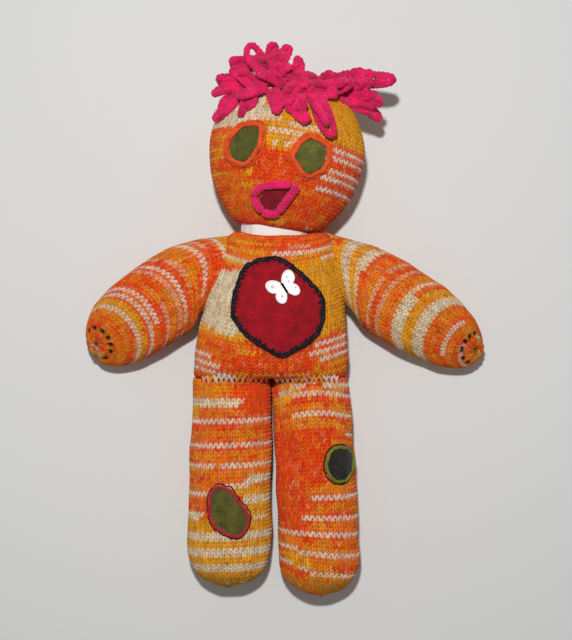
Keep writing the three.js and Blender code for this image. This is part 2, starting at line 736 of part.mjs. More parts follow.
const rightEye = makeEye(RIGHT_EYE, eyeAt(-1));
const leftEye = makeEye(LEFT_EYE, eyeAt(1));
place("right_eye_felt", rightEye.felt, COLOURS.eyeFelt);
place("right_eye_outline", rightEye.yarn, COLOURS.eyeYarn);
place("left_eye_felt", leftEye.felt, COLOURS.eyeFelt);
place("left_eye_outline", leftEye.yarn, COLOURS.eyeYarn);
place("mouth_felt", feltOn(headFront, MOUTH, mouthAt, 0), COLOURS.mouthFelt);
place(
  "mouth_outline",
  yarnLoopOn(headFront, MOUTH, mouthAt, LIP_YARN / 2 + GAP, LIP_YARN, GAP),
  COLOURS.lips,
);

const chestAt = new THREE.Vector3(...CHEST_PATCH.at, 0);
const chest = patchOn(torsoFront, CHEST_PATCH.outline, chestAt, STITCH_YARN);
place("chest_patch", chest.felt, COLOURS.chestFelt);
place("chest_stitching", chest.yarn, COLOURS.black);
const rightKnee = kneePatch(RIGHT_LEG, RIGHT_KNEE_PATCH);
place("right_knee_patch", rightKnee.felt, COLOURS.kneeFelt);
place("right_knee_stitching", rightKnee.yarn, COLOURS.kneeYarn);
const leftKnee = kneePatch(LEFT_LEG, LEFT_KNEE_PATCH);
place("left_knee_patch", leftKnee.felt, COLOURS.darkFelt);
place("left_knee_stitching", leftKnee.yarn, COLOURS.greenYarn);

const button = buttonGroup();
place("butterfly_button", makeButton(), COLOURS.button, button, 0.35);
place("button_thread", makeThread(), COLOURS.black, button);
doll.add(button);

const roomForHead = stuffedSolid(headForm, GAP, SIDES + 4);
for (const [name, bunch] of Object.entries(HAIR)) {
  place(name, makeHair(bunch, roomForHead), COLOURS.hair);
}

export default doll;
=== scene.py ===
"""The look of a stuffed knitted doll that lies on its back: stitches, felt, yarn and a button."""

import math
from typing import NamedTuple

import bpy
import numpy as np
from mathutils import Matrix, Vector


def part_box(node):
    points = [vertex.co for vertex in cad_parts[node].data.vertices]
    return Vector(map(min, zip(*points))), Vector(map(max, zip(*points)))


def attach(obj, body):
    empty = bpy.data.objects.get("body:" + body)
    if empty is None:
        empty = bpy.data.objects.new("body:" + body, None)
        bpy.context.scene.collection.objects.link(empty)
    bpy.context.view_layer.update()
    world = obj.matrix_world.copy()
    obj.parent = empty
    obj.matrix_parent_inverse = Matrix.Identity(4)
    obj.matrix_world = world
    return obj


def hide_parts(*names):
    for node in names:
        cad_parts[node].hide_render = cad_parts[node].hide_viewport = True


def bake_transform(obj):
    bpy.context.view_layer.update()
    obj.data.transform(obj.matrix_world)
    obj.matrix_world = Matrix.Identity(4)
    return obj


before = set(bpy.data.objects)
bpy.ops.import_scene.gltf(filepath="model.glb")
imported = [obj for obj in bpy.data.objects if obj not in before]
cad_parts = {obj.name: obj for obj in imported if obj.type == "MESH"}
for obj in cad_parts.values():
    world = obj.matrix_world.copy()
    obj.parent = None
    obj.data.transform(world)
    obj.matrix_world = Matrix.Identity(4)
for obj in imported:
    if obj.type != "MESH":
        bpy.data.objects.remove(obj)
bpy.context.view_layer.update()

# Shapes are worked out in millimetres, in the frame's own directions, and stored in metres.
MM = 0.001

# Sizes of the doll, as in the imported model
REST_CUT = 0.5
ROUNDNESS = 2.25
TORSO_HEIGHT = 87.5
TORSO_BOTTOM = -43.8
SHOULDER_WIDTH = 63
HIP_WIDTH = 92
BELLY_DEPTH = 62
HIP_DEPTH = 50
SHOULDER_DEPTH = 55
HIPS_X = -0.5
TORSO_LEAN = 6.5
TOP_ROUND_SIDE = 5
TOP_ROUND_DEPTH = 8
BOTTOM_ROUND_SIDE = 3
BOTTOM_ROUND_DEPTH = 8
NECK_RADIUS = 17
NECK_GAP = 2.4
NECK_TUCK = 9
NECK_X = 3.2
NECK_Z = 31
HEAD_WIDTH = 91
HEAD_DEPTH = 77
HEAD_LENGTH = 91.5
HEAD_WIDEST = 46
CHIN_REACH = 54
HEAD_LEAN = math.radians(8.5)
ARM_TUCK = 6
ROOT = -0.1
HAND_LIFT = math.radians(38)
HAND_START = 0.64
SEAM_BELOW_TOP = 1
SEAM_INSET = 3
RIGHT_ARM = {
    "side": -1, "width": 50, "depth": 45, "upper": 30, "lower": 62.5, "seam": 48,
    "seam_slope": math.radians(19), "drop": math.radians(14), "hand_drop": math.radians(41),
    "lift": math.radians(20), "bow": (4, 3.4), "gather": (-105.5, -24), "hole_ring": 10.5,
    "holes_face": math.radians(30),
}
LEFT_ARM = {
    "side": 1, "width": 47, "depth": 44, "upper": 28, "lower": 73, "seam": 42,
    "seam_slope": math.radians(14), "drop": math.radians(25), "hand_drop": math.radians(33.5),
    "lift": math.radians(12), "bow": (2.4, 0.8), "gather": (125, -27), "hole_ring": 10,
    "holes_face": math.radians(165),
}
RIGHT_LEG = {
    "side": -1, "top_width": 47, "width": 49.5, "depth": 46, "length": 126, "splay": math.radians(1.2),
}
LEFT_LEG = {
    "side": 1, "top_width": 45.5, "width": 48, "depth": 46, "length": 131.2, "splay": math.radians(2.9),
}
LEG_TOP_DEPTH = 42
CROTCH_X = 1.2
CROTCH_GAP = 1
FOOT_START = 0.83

# Knitting and its colours
STITCH_WIDTH = 3.4
STITCH_HEIGHT = 2.4
RELIEF = 1.25  # from the gap between stitches to the top of the yarn
SUNK = 0.75  # how much of the relief lies under the form's surface
YARN_TOP = RELIEF - SUNK
LEAN = 0.95  # rows that each half of a stitch climbs
ACROSS = 8  # mesh points for each stitch
ALONG = 5
FILL = 0.85  # how firmly the skins are stuffed
LUMP_HEIGHT = 0.7  # of the filling, as it shows through the skin
LUMP_SIZE = 34
SEEDS = {"torso": 3, "head": 4, "right_arm": 19, "left_arm": 21, "right_leg": 29, "left_leg": 31}
SLACK = 0.12  # rows by which stitches wander
SLACK_SIZE = 9
GAP_SHADE = 0.32  # brightness of the painted shade in the gaps between strands
SHADE_HEIGHT = 0.6  # height from which the painted shade ends and yarn is fully bright, as a share of the relief
BAND_WOBBLE = 0.15  # of a colour band's edge, in rows
END_WOBBLE = 0.03  # of its ends, from side to side
BLEED = 0.14  # of each stitch's colour into its neighbours
SPECK_SHARE = 0.42  # of the yarn's other dyes in a half stitch, at most
TONE_SPREAD = 0.11
COLLAR_DIP = 2.8  # of the body's top edge under the chin
COLLAR_X = 7
COLLAR_REACH = 24
ARM_BLEND = 32  # length of a limb over which its skin goes over from the body
LEG_BLEND = 34
HIP_HEIGHT = 20

# How far the skins run on inwards, under the pieces that they are sewn to, and how their ends are rounded
TORSO_TOP_FOLD = 6
TORSO_BOTTOM_FOLD = 26
LEG_FOLD = 22
LEG_ROUND = 3
HEAD_FOLD = 9
HEAD_ROUND = 2.5
ARM_FOLD = -0.3  # the share of an arm at which its skin starts

# Gathers
GATHER_FLAT = 0.55  # how much of the relief a gather takes
HAND_ROWS = 25  # rows before the hand's end
HAND_HOLES = 12
HOLE_SIZE = 1.25
HOLE_DEPTH = 2.6
# Brightness of the painted shade in the holes and low folds of a gathered end
HOLE_SHADE = 0.05
HAND_FOLDS = 9
HAND_FOLD_HEIGHT = 0.35
HAND_TWIST = 0.35  # of the folds, for each mm outwards
HAND_RIM = (0.62, 1.6, 0.8)  # its place as a share of the ring of holes, its width and its height
HAND_DIMPLE = (1.8, 1.2)  # width and depth
FOOT_FOLDS = 10
FOOT_REACH = 8
THREAD_RADIUS = 0.6
THREADS = 5

# Face, and places of the patches
EYE_SPACING = 38
EYE_HEIGHT = 41.9
EYE_SLOPE = math.radians(10.5)
MOUTH_HEIGHT = 14.3
FACE_SHIFT = -4.5
MOUTH_SHIFT = 2.3
LIP_RADIUS = 2.55
LIP_LIFT = 0.9
LIP_ARCH = 1.4
CHEST_AT = (5, -1.5)
RIGHT_KNEE_AT = (0, 78.4)  # from the middle of the leg's top, across and down
LEFT_KNEE_AT = (14, 51.2)

# Felt and yarn
OUTLINE_SPACING = 0.5
FELT_BOTTOM = 0.1  # height of its underside over the skin
# How far in each ring of a felt edge lies, and its share of the thickness
FELT_EDGE = ((6.0, 0), (2.0, 0), (0.5, 0), (0.15, 0.25), (0, 0.5), (0.1, 0.75), (0.35, 0.92), (0.8, 1))
FELT_STEP = 0.6
CHEST_HIGH = YARN_TOP + 1.3
PLY_AWAY = 0.42  # of each ply from the yarn's middle, as a share of the yarn's radius
PLY_RADIUS = 0.58
BLANKET_SPACING = 1.9
BLANKET_REACH = 3.3
BLANKET_RADIUS = 0.56
INNER_YARN = 1.5  # how far in its second line of yarn lies
HIP_RADIUS = 0.8
HIP_SPACING = 1.6
HIP_LEAN = 1.15
HIP_ARCH = 1.5
HIP_REACH = (2.6, 2.2)  # over the body and over the leg
HIP_SUNK = (2.4, 0.7)

# Button, and cotton of the neck
BUTTON_SPAN = 18.4
BUTTON_TURN = math.radians(32)
BUTTON_FROM_PATCH = (3.4, 10.8)
BUTTON_LIFT = 0.35
BUTTON_THREADS = (-0.35, 0.0, 0.35)  # how far each lies aside
BUTTON_THREAD_RADIUS = 0.42
BUTTON_THREAD_REACH = 3.4
NECK_SPREAD = 3.5  # how much wider the neck's cotton bulges than its tube
NECK_BELOW = 4  # how far it reaches into the body
NECK_ROWS = 22
NECK_HEM = 0.8  # how much each end is drawn in

# Hair
HAIR_RADIUS = 2.1
HAIR_CLEARANCE = HAIR_RADIUS + 0.6
WIDE_LOOP = 6
HAIR_SCATTER = 1.2
HAIR_OVER = 3.6  # height between the two loops of a pair

# Floor and light in metres, and the camera over the doll
FLOOR_HALF = 1.5
KEY_AT = (-0.03, 0.22, 0.97)
KEY_SIZE = 0.05
KEY_POWER = 6.9
WORLD_STRENGTH = 0.2
CAMERA_AT = (9.6, -9.0, 900.0)
CAMERA_LENS = 81.3

# Colours, as seen on the doll
PALETTE = {
    "red": (244, 72, 16), "orange": (244, 114, 20), "amber": (241, 138, 21), "gold": (238, 162, 22),
    "ochre": (200, 146, 30), "cream": (230, 214, 180), "white": (238, 212, 194), "pink": (238, 170, 138),
}
SPECKS = ("red", "orange", "gold", "pink", "ochre")
HAIR_PINK = (232, 28, 92)
LIP_PINK = (232, 30, 100)
EYE_ORANGE = (240, 84, 24)
EYE_FELT = {"right": (84, 86, 34), "left": (98, 98, 42)}
KNEE_FELT = (88, 84, 34)
MOUTH_FELT = (140, 14, 34)
CHEST_FELT = (154, 12, 28)
DARK_FELT = (36, 32, 28)
BLACK_YARN = (12, 20, 24)
KNEE_RED = (190, 34, 50)
LEAF_GREEN = (118, 128, 26)
BUTTON_WHITE = (242, 242, 238)
SPOT_PINK = (208, 44, 104)
COTTON_WHITE = (240, 238, 232)
FLOOR_GREY = (226, 226, 224)


def srgb(colour):
    """Linear colour from 0-255 screen values."""
    v = np.asarray(colour, float) / 255
    return np.where(v <= 0.04045, v / 12.92, ((v + 0.055) / 1.055) ** 2.4)


def opaque(colour):
    return (*srgb(colour), 1)


def smooth(v):
    v = np.clip(v, 0, 1)
    return v * v * (3 - 2 * v)


def lerp(a, b, t):
    return a + (b - a) * t


def unit(v):
    """The direction of each vector."""
    return v / np.maximum(np.linalg.norm(v, axis=-1, keepdims=True), 1e-9)


def wave_noise(points, size, seed, octaves=3):
    """Smooth noise of about -1 to 1 at points, whose features are about size wide."""
    rng = np.random.default_rng(seed)
    total = np.zeros(points.shape[:-1])
    for k in range(octaves):
        for _ in range(4):
            direction = rng.normal(size=points.shape[-1])
            direction *= 2 * math.pi / (size * 0.6**k * np.linalg.norm(direction))
            total += np.sin(points @ direction + rng.uniform(0, 2 * math.pi)) * 0.6**k
    return total / 4


# Meshes

def make_object(name, points, faces, uvs=None, colours=None):
    """A smooth mesh object from points in mm and a list of face arrays, all of 3 or 4 corners."""
    mesh = bpy.data.meshes.new(name)
    faces = [np.asarray(f, np.int32) for f in faces if len(f)]
    corners = np.concatenate([f.ravel() for f in faces])
    sizes = np.concatenate([np.full(len(f), f.shape[1]) for f in faces])
    mesh.vertices.add(len(points))
    mesh.vertices.foreach_set("co", (np.asarray(points) * MM).astype(np.float32).ravel())
    mesh.loops.add(len(corners))
    mesh.loops.foreach_set("vertex_index", corners)
    mesh.polygons.add(len(sizes))
    mesh.polygons.foreach_set("loop_start", (np.cumsum(sizes) - sizes).astype(np.int32))
    mesh.update(calc_edges=True)
    if uvs is not None:
        mesh.uv_layers.new(name="OFBake").data.foreach_set("uv", uvs.astype(np.float32).ravel())
    if colours is not None:
        # The colours hold the yarn's dyes with shade painted into the gaps between strands and the holes of
        # gathers
        layer = mesh.color_attributes.new("yarn_colour_and_shade", "FLOAT_COLOR", "POINT")
        rgba = np.concatenate([colours, np.ones((len(colours), 1))], axis=1)
        layer.data.foreach_set("color", rgba.astype(np.float32).ravel())
    mesh.shade_smooth()
    obj = bpy.data.objects.new(name, mesh)
    bpy.context.scene.collection.objects.link(obj)
    return obj


def tube_faces(rows, around, start=0):
    """Quads between rings of points, and the same quads in ring and column counts."""
    r, k = np.meshgrid(np.arange(rows - 1), np.arange(around), indexing="ij")
    after = (k + 1) % around
    low, high = r * around, (r + 1) * around
    quads = np.stack([low + k, low + after, high + after, high + k], -1)
    places = np.stack([np.stack([k, r], -1), np.stack([k + 1, r], -1),
                       np.stack([k + 1, r + 1], -1), np.stack([k, r + 1], -1)], -2)
    return quads.reshape(-1, 4) + start, places.reshape(-1, 4, 2)


def finish_piece(obj, material, slot, nodes=(), body=None, blend=None, fill=None):
    """Gives a piece its material, hides the imported parts named in nodes, and puts it on its body, or bakes
    its place into its mesh if it has a blend. The slot is not used.
    """
    obj.data.materials.append(material)
    if nodes:
        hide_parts(*nodes)
    if blend:
        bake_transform(obj)
    else:
        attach(obj, body)
    return obj


# Materials

def new_material(name):
    material = bpy.data.materials.new(name)
    material.use_nodes = True
    nodes = material.node_tree.nodes
    nodes.clear()
    shader = nodes.new("ShaderNodeBsdfPrincipled")
    output = nodes.new("ShaderNodeOutputMaterial")
    material.node_tree.links.new(shader.outputs["BSDF"], output.inputs["Surface"])
    return material, shader


def add_node(material, kind, inputs=None, **settings):
    """A node with its settings, and its inputs set to a value or linked to another node's socket."""
    node = material.node_tree.nodes.new("ShaderNode" + kind)
    for key, value in settings.items():
        setattr(node, key, value)
    for key, value in (inputs or {}).items():
        if isinstance(value, bpy.types.NodeSocket):
            material.node_tree.links.new(value, node.inputs[key])
        else:
            node.inputs[key].default_value = value
    return node


def link(material, output, target):
    material.node_tree.links.new(output, target)


def fibre_bump(material, shader, vector, fibre_scale, strength, distance, stretch=(1, 1, 1)):
    """Fine fibres on yarn or felt."""
    mapping = add_node(material, "Mapping", {"Vector": vector, "Scale": stretch})
    noise = add_node(
        material, "TexNoise",
        {"Vector": mapping.outputs["Vector"], "Scale": fibre_scale, "Detail": 4.0, "Roughness": 0.65},
    )
    bump = add_node(
        material, "Bump",
        {"Height": noise.outputs["Fac"], "Strength": strength, "Distance": distance},
    )
    link(material, bump.outputs["Normal"], shader.inputs["Normal"])
    return noise


def cloth_shader(shader, roughness, sheen):
    shader.inputs["Roughness"].default_value = roughness
    shader.inputs["Specular IOR Level"].default_value = 0.15
    shader.inputs["Sheen Weight"].default_value = sheen
    shader.inputs["Sheen Roughness"].default_value = 0.5


def knit_material(name, columns, rows):
    """Yarn whose colour, with shade painted into its gaps, each stitch holds, with fibres at their real
    size.
    """
    material, shader = new_material(name)
    cloth_shader(shader, 0.9, 0.05)
    colour = add_node(material, "Attribute", attribute_name="yarn_colour_and_shade")
    uv = add_node(material, "UVMap", uv_map="OFBake")
    size = (columns * STITCH_WIDTH, rows * STITCH_HEIGHT, 1)
    noise = fibre_bump(material, shader, uv.outputs["UV"], 2.6, 0.55, 0.0005, size)
    tone = add_node(
        material, "MapRange",
        {"Value": noise.outputs["Fac"], "From Min": 0.3, "From Max": 0.7, "To Min": 0.72, "To Max": 1.12},
    )
    mixed = add_node(
        material, "VectorMath",
        {0: colour.outputs["Color"], 1: tone.outputs["Result"]}, operation="MULTIPLY",
    )
    link(material, mixed.outputs["Vector"], shader.inputs["Base Color"])
    return material


def yarn_material(name, colour, dark, light, scale=1000.0, sheen=0.2):
    """Plied yarn of one dye, with fibres and a slightly uneven colour."""
    material, shader = new_material(name)
    cloth_shader(shader, 0.85, sheen)
    place = add_node(material, "TexCoord")
    noise = fibre_bump(material, shader, place.outputs["Object"], scale, 0.5, 0.0004)
    patches = add_node(
        material, "TexNoise",
        {"Vector": place.outputs["Object"], "Scale": scale / 6, "Detail": 2.0},
    )
    mean = add_node(
        material, "Math", {0: noise.outputs["Fac"], 1: patches.outputs["Fac"]}, operation="ADD",
    )
    half = add_node(
        material, "Math", {0: mean.outputs["Value"], 1: 0.5}, operation="MULTIPLY",
    )
    ramp = add_node(material, "ValToRGB", {"Fac": half.outputs["Value"]})
    for element, position, tone in zip(ramp.color_ramp.elements, (0.36, 0.64), (dark, light)):
        element.position = position
        element.color = (*np.clip(srgb(colour) * tone, 0, 1), 1)
    link(material, ramp.outputs["Color"], shader.inputs["Base Color"])
    return material


def felt_material(name, colour, dark, light):
    return yarn_material(name, colour, dark, light, scale=1100.0, sheen=0.25)


# Forms: each gives, at shares t along it, the middle, directions and half sizes of its section

def superellipse(angle):
    power = 2 / ROUNDNESS
    c, s = np.cos(angle), np.sin(angle)
    return np.sign(c) * np.abs(c) ** power, np.sign(s) * np.abs(s) ** power


def rounded_end(u, power):
    return np.maximum(0, 1 - np.clip(u, 0, 1) ** power) ** (1 / power)


def stack(x, y, z):
    return np.stack(np.broadcast_arrays(x, y, z), -1).astype(float)


def fixed(vector, like):
    return np.broadcast_to(np.asarray(vector, float), np.shape(like) + (3,))


def torso_section(t):
    t = np.clip(t, 0, 1)
    rise = np.sin(np.pi / 2 * (1 - t))
    swell = np.sin(np.pi * np.minimum(1, t + 0.06)) ** 0.8
    depth = lerp(lerp(HIP_DEPTH, SHOULDER_DEPTH, t), BELLY_DEPTH, np.where(t < 0.94, swell, 0)) / 2
    corner = np.maximum(0, 1 - (1 - t) * TORSO_HEIGHT / TOP_ROUND_DEPTH)
    drawn_in = 1 - np.sqrt(1 - corner**2)
    middle = stack(
        HIPS_X + t * TORSO_LEAN, TORSO_BOTTOM + t * TORSO_HEIGHT, lerp(depth - REST_CUT, NECK_Z, drawn_in)
    )
    half_width = lerp(SHOULDER_WIDTH, HIP_WIDTH, rise) / 2 - TOP_ROUND_SIDE * drawn_in
    return middle, fixed((1, 0, 0), t), fixed((0, 0, 1), t), half_width, depth - TOP_ROUND_DEPTH * drawn_in


HEAD_BOTTOM = TORSO_BOTTOM + TORSO_HEIGHT + NECK_GAP
HEAD_UP = np.array([math.sin(HEAD_LEAN), math.cos(HEAD_LEAN), 0])
HEAD_ACROSS = np.array([HEAD_UP[1], -HEAD_UP[0], 0])


def in_head(across, along):
    """A place over the head, from distances across it and along it from the neck."""
    return np.array([NECK_X, HEAD_BOTTOM, 0]) + across * HEAD_ACROSS + along * HEAD_UP


def head_section(t):
    distance = t * HEAD_LENGTH
    low = np.sqrt(np.maximum(0, 1 - ((HEAD_WIDEST - distance) / CHIN_REACH) ** 2))
    high = rounded_end((distance - HEAD_WIDEST) / (HEAD_LENGTH - HEAD_WIDEST), 2)
    swell = np.where(distance < HEAD_WIDEST, low, high)
    middle = np.array([NECK_X, HEAD_BOTTOM, 0]) + np.asarray(distance)[..., None] * HEAD_UP
    middle[..., 2] = lerp(NECK_Z, HEAD_DEPTH / 2 - REST_CUT, smooth(distance / HEAD_WIDEST))
    return middle, fixed(HEAD_ACROSS, t), fixed((0, 0, 1), t), HEAD_WIDTH / 2 * swell, HEAD_DEPTH / 2 * swell


def arm_root(arm):
    """The direction of the armhole seam, the way into the body and the seam's middle."""
    slope = arm["seam_slope"]
    down = np.array([arm["side"] * math.sin(slope), -math.cos(slope), 0])
    top = torso_section(np.array(1 - SEAM_BELOW_TOP / TORSO_HEIGHT))[0].copy()
    top[0] += arm["side"] * (SHOULDER_WIDTH / 2 - SEAM_INSET)
    middle = top + down * arm["seam"] / 2
    middle[2] = 0
    inwards = -arm["side"] * np.array([-down[1], down[0], 0])
    return down, inwards, middle


def arm_section(arm):
    down, inwards, root = arm_root(arm)

    def dropped(angle):
        return np.array([arm["side"] * math.cos(angle), -math.sin(angle), 0])

    elbow = root + arm["upper"] * dropped(arm["drop"])
    hand = elbow + arm["lower"] * dropped(arm["hand_drop"])

    def section(t):
        s = np.clip(t, 0, 1)[..., None]
        middle = (1 - s) ** 2 * root + 2 * s * (1 - s) * elbow + s**2 * hand
        middle = middle + inwards * (np.maximum(0, -t) * ARM_TUCK / -ROOT)[..., None]
        forward = unit(2 * (1 - s) * (elbow - root) + 2 * s * (hand - elbow))
        square = arm["side"] * np.stack([forward[..., 1], -forward[..., 0], 0 * forward[..., 0]], -1)
        across = unit(lerp(down, square, smooth(t / 0.6)[..., None]))
        u = np.maximum(0, (t - HAND_START) / (1 - HAND_START))
        end = rounded_end(u, 2.3)
        hand_lift = HAND_LIFT * smooth(u)
        lift = lerp(arm["lift"], HAND_LIFT, smooth(t / 0.9))
        up = np.array([0, 0, 1]) * np.cos(lift)[..., None] - forward * np.sin(lift)[..., None]
        swell = 0.95 + 0.05 * np.sin(np.pi * np.clip(t / 0.8, 0, 1))
        middle[..., 2] = arm["depth"] / 2 - REST_CUT + 2 * smooth(u)
        half_depth = arm["depth"] / 2 * swell * end * np.cos(hand_lift) / np.cos(lift)
        return middle, across, up, arm["width"] / 2 * swell * end, half_depth

    return section


def leg_axis(leg):
    """The middle of a leg's top, and the ways down it and across it."""
    down = np.array([leg["side"] * math.sin(leg["splay"]), -math.cos(leg["splay"]), 0])
    top = np.array([CROTCH_X + leg["side"] * (leg["top_width"] + CROTCH_GAP) / 2, TORSO_BOTTOM, 0])
    return top, down, np.array([-down[1], down[0], 0])


def leg_section(leg):
    top, down, across = leg_axis(leg)

    def section(t):
        middle = top + down * (np.maximum(t, 0) * leg["length"])[..., None]
        end = rounded_end(np.maximum(0, (t - FOOT_START) / (1 - FOOT_START)), 2.1)
        depth = lerp(LEG_TOP_DEPTH, leg["depth"], smooth(t / 0.15)) / 2
        middle[..., 2] = depth - REST_CUT
        half_width = lerp(leg["top_width"], leg["width"], smooth(t / 0.6)) / 2 * end
        return middle, fixed(across, t), fixed((0, 0, 1), t), half_width, depth * end

    return section


def section_points(section, angle, inset_aside=0, inset_deep=0):
    """Points round a section that is drawn in at its sides and in its depth."""
    middle, across, up, half_width, half_depth = section
    c, s = superellipse(angle)
    width = np.maximum(0.05, half_width - inset_aside) * c
    depth = np.maximum(0.05, half_depth - inset_deep) * s
    return middle + across * width[..., None] + up * depth[..., None]


def even_angles(section, t, count):
    """Angles that part the section at t in pieces of one length, from the middle of the back round."""
    angle = np.linspace(-np.pi / 2, 3 * np.pi / 2, 1441)
    points = section_points(section(np.full(angle.shape, t)), angle)
    gone = np.concatenate([[0], np.cumsum(np.linalg.norm(np.diff(points, axis=0), axis=1))])
    girth = gone[-1]
    return np.interp(np.arange(count) / count * girth, gone, angle), girth


def end_rounding(distance, radius):
    inside = np.clip(radius - distance, 0, radius)
    return radius - np.sqrt(radius**2 - inside**2)


class Run:
    """How a skin runs over its form: shares t and insets, by the distance along the skin."""

    def __init__(self, section, shares, inset_aside, inset_deep, start):
        self.section = section
        self.shares = np.asarray(shares, float)
        self.inset_aside = inset_aside
        self.inset_deep = inset_deep
        angle = np.linspace(0.3, np.pi - 0.3, 9)[None, :]
        points = section_points(
            section(self.shares[:, None] + 0 * angle), angle, inset_aside[:, None], inset_deep[:, None]
        )
        steps = np.linalg.norm(np.diff(points, axis=0), axis=-1).mean(axis=1)
        gone = np.concatenate([[0], np.cumsum(steps)])
        self.places = gone - np.interp(start, np.arange(len(gone)), gone)

    def points(self, distance, angle):
        share, aside, deep = (
            np.interp(distance, self.places, values)
            for values in (self.shares, self.inset_aside, self.inset_deep)
        )
        return section_points(self.section(share), angle, aside, deep)


# Colours of the knitting

class Band(NamedTuple):
    """Rows low to high between two sides, in a share of their stitches.

    Slope tilts the rows, and bow bends them at both sides.
    """

    colour: str
    low: float
    high: float
    share: float = 1.0
    left: float = -9
    right: float = 9
    slope: float = 0
    bow: float = 0


def streaks(shape, rng, length=7):
    """Values spread evenly over 0 to 1 in each row, in runs along it, as a yarn's dye changes slowly."""
    noise = rng.random(shape)
    drift = sum(np.roll(noise, k, axis=1) for k in range(length)) / length
    order = np.argsort(np.argsort(drift + 0.12 * rng.random(shape), axis=1), axis=1)
    return (order + 0.5) / shape[1]


def band_colours(bands, ground, level, side, rng):
    """A colour for each stitch. Later bands lie over earlier ones."""
    colour = np.broadcast_to(srgb(PALETTE[ground]), level.shape + (3,)).copy()
    wobble = rng.normal(0, BAND_WOBBLE, level.shape)
    end = side + rng.normal(0, END_WOBBLE, level.shape)
    for b in (Band(*values) for values in bands):
        height = level + b.slope * side + b.bow * side**2 + wobble
        inside = (height >= b.low) & (height < b.high) & (end >= b.left) & (end < b.right)
        inside &= streaks(level.shape, rng) < b.share
        colour[inside] = srgb(PALETTE[b.colour])
    beside = (np.roll(colour, 1, axis=0) + np.roll(colour, -1, axis=0)) / 2
    return lerp(colour, beside, rng.uniform(0.0, BLEED, level.shape)[..., None])


def half_stitch_colours(bands, ground, level, side, seed):
    """A colour for each half of each stitch, with specks of the yarn's other dyes."""
    rng = np.random.default_rng(seed)
    halves = np.repeat(band_colours(bands, ground, level, side, rng), 2, axis=1)
    count = halves.shape[:2]
    speck = srgb([PALETTE[name] for name in SPECKS])[rng.integers(len(SPECKS), size=count)]
    halves = lerp(halves, speck, (SPECK_SHARE * rng.random(count) ** 2.2)[..., None])
    halves *= rng.normal(1, TONE_SPREAD, count)[..., None]
    return np.clip(halves, 0.002, 1)


def yarn_colours(bands, ground, angle, first, last, strand_row, column, side_scale, levels, seed):
    """The colour at each point of a skin, from the half stitch whose yarn shows there."""
    centre = (np.arange(len(angle) // ACROSS) + 0.5) * ACROSS
    c, s = superellipse(np.interp(centre, np.arange(len(angle)), angle))
    side = np.where(s >= 0, c, np.sign(c) * (2 - np.abs(c))) * side_scale
    rows = np.arange(first - 2, last + 2)
    level, side_grid = np.meshgrid(rows + 0.5, side, indexing="ij")
    if levels:
        level = levels(level)
    stitches = half_stitch_colours(bands, ground, level, side_grid, seed)
    own = np.clip(strand_row - rows[0], 0, len(rows) - 1)
    return stitches[own, (2 * column).astype(int)]


# Skins

def stitch_shape(column, row):
    """Height of the yarn from 0 to 1, and the row whose yarn shows."""
    aside = np.abs(2 * (column % 1) - 1)
    along = row - LEAN * (1 - aside)
    strand = along % 1
    dome = 1 - 0.95 * (2 * strand - 1) ** 2 - 0.6 * (2 * aside - 1) ** 2
    return np.sqrt(np.clip(dome, 0, 1)), np.floor(along).astype(int)


def stitch_grid(run, columns_at):
    """First and last row, number of columns, and the row, column and angle of each mesh point."""
    first = math.ceil(run.places[0] / STITCH_HEIGHT)
    last = int(run.places[-1] // STITCH_HEIGHT)
    _, girth = even_angles(run.section, columns_at, 1)
    columns = int(round(girth / STITCH_WIDTH))
    angle, _ = even_angles(run.section, columns_at, columns * ACROSS)
    rows = first + np.arange((last - first) * ALONG + 1) / ALONG
    row, column = np.meshgrid(rows, np.arange(columns * ACROSS) / ACROSS, indexing="ij")
    return first, last, columns, row, column, angle


def knit(part, run, columns_at, bands, ground, body=None, blend=None, side_scale=1.0, shift=None,
         levels=None, gather=None, settle=None):
    """A knitted skin: a grid of stitches laid on a form, with the yarn's relief and colours, and shade
    painted into the colours in the gaps between strands and in gathers.
    """
    seed = SEEDS[part]
    first, last, columns, row, column, angle = stitch_grid(run, columns_at)
    distance = row * STITCH_HEIGHT
    if shift:
        distance = distance + shift(row, last - row, superellipse(angle)[0][None, :])
    points = run.points(distance, np.broadcast_to(angle, distance.shape))
    spread = np.linalg.norm(np.roll(points, -1, axis=1) - points, axis=-1) * ACROSS
    plump = np.clip(spread / STITCH_WIDTH, 0, 1) ** 0.7
    lumps = LUMP_HEIGHT * wave_noise(points, LUMP_SIZE, seed)
    points = points + lumps[..., None] * surface_normals(points)
    if settle:
        points = settle(points)

    slack = wave_noise(np.stack([column * STITCH_WIDTH, row * STITCH_HEIGHT], -1), SLACK_SIZE, seed + 5, 2)
    height, strand_row = stitch_shape(column, row + SLACK * slack)
    relief = height * RELIEF * plump
    # Painted shade: the colour darkens in the gaps between strands, where the yarn lies low
    shade = lerp(GAP_SHADE, 1, smooth(height / SHADE_HEIGHT))
    if gather:
        near, folds = gather(row, last - row, column / columns, points)
        relief = relief * (1 - GATHER_FLAT * near) + near * folds
        # Painted shade in the holes and low folds of a gather: darker where the surface dips
        shade = shade * lerp(1, lerp(HOLE_SHADE, 1, smooth((folds + 1.5) / 1.7)), near)
    colours = yarn_colours(
        bands, ground, angle, first, last, strand_row, column, side_scale, levels, seed + 11
    ) * shade[..., None]

    points = points + surface_normals(points) * (relief - SUNK * plump)[..., None]
    points[..., 2] = np.maximum(points[..., 2], 0.1 + 0.25 * relief.clip(0))
    name = f"{part}_knit"
    return finish_piece(
        skin_object(name, points, colours), knit_material(name + "_yarn", columns, last - first), "knit",
        [f"{part}_skin", f"{part}_stuffing"], body, blend, FILL,
    )


def surface_normals(points):
    """Normals of a grid of rings, pointing out."""
    around = np.roll(points, -1, axis=1) - np.roll(points, 1, axis=1)
    along = np.gradient(points, axis=0)
    normal = unit(np.cross(around, along))
    middle = points.mean(axis=1, keepdims=True)
    outward = ((points - middle) * normal).sum(axis=-1, keepdims=True)
    return normal * np.sign(np.median(outward))


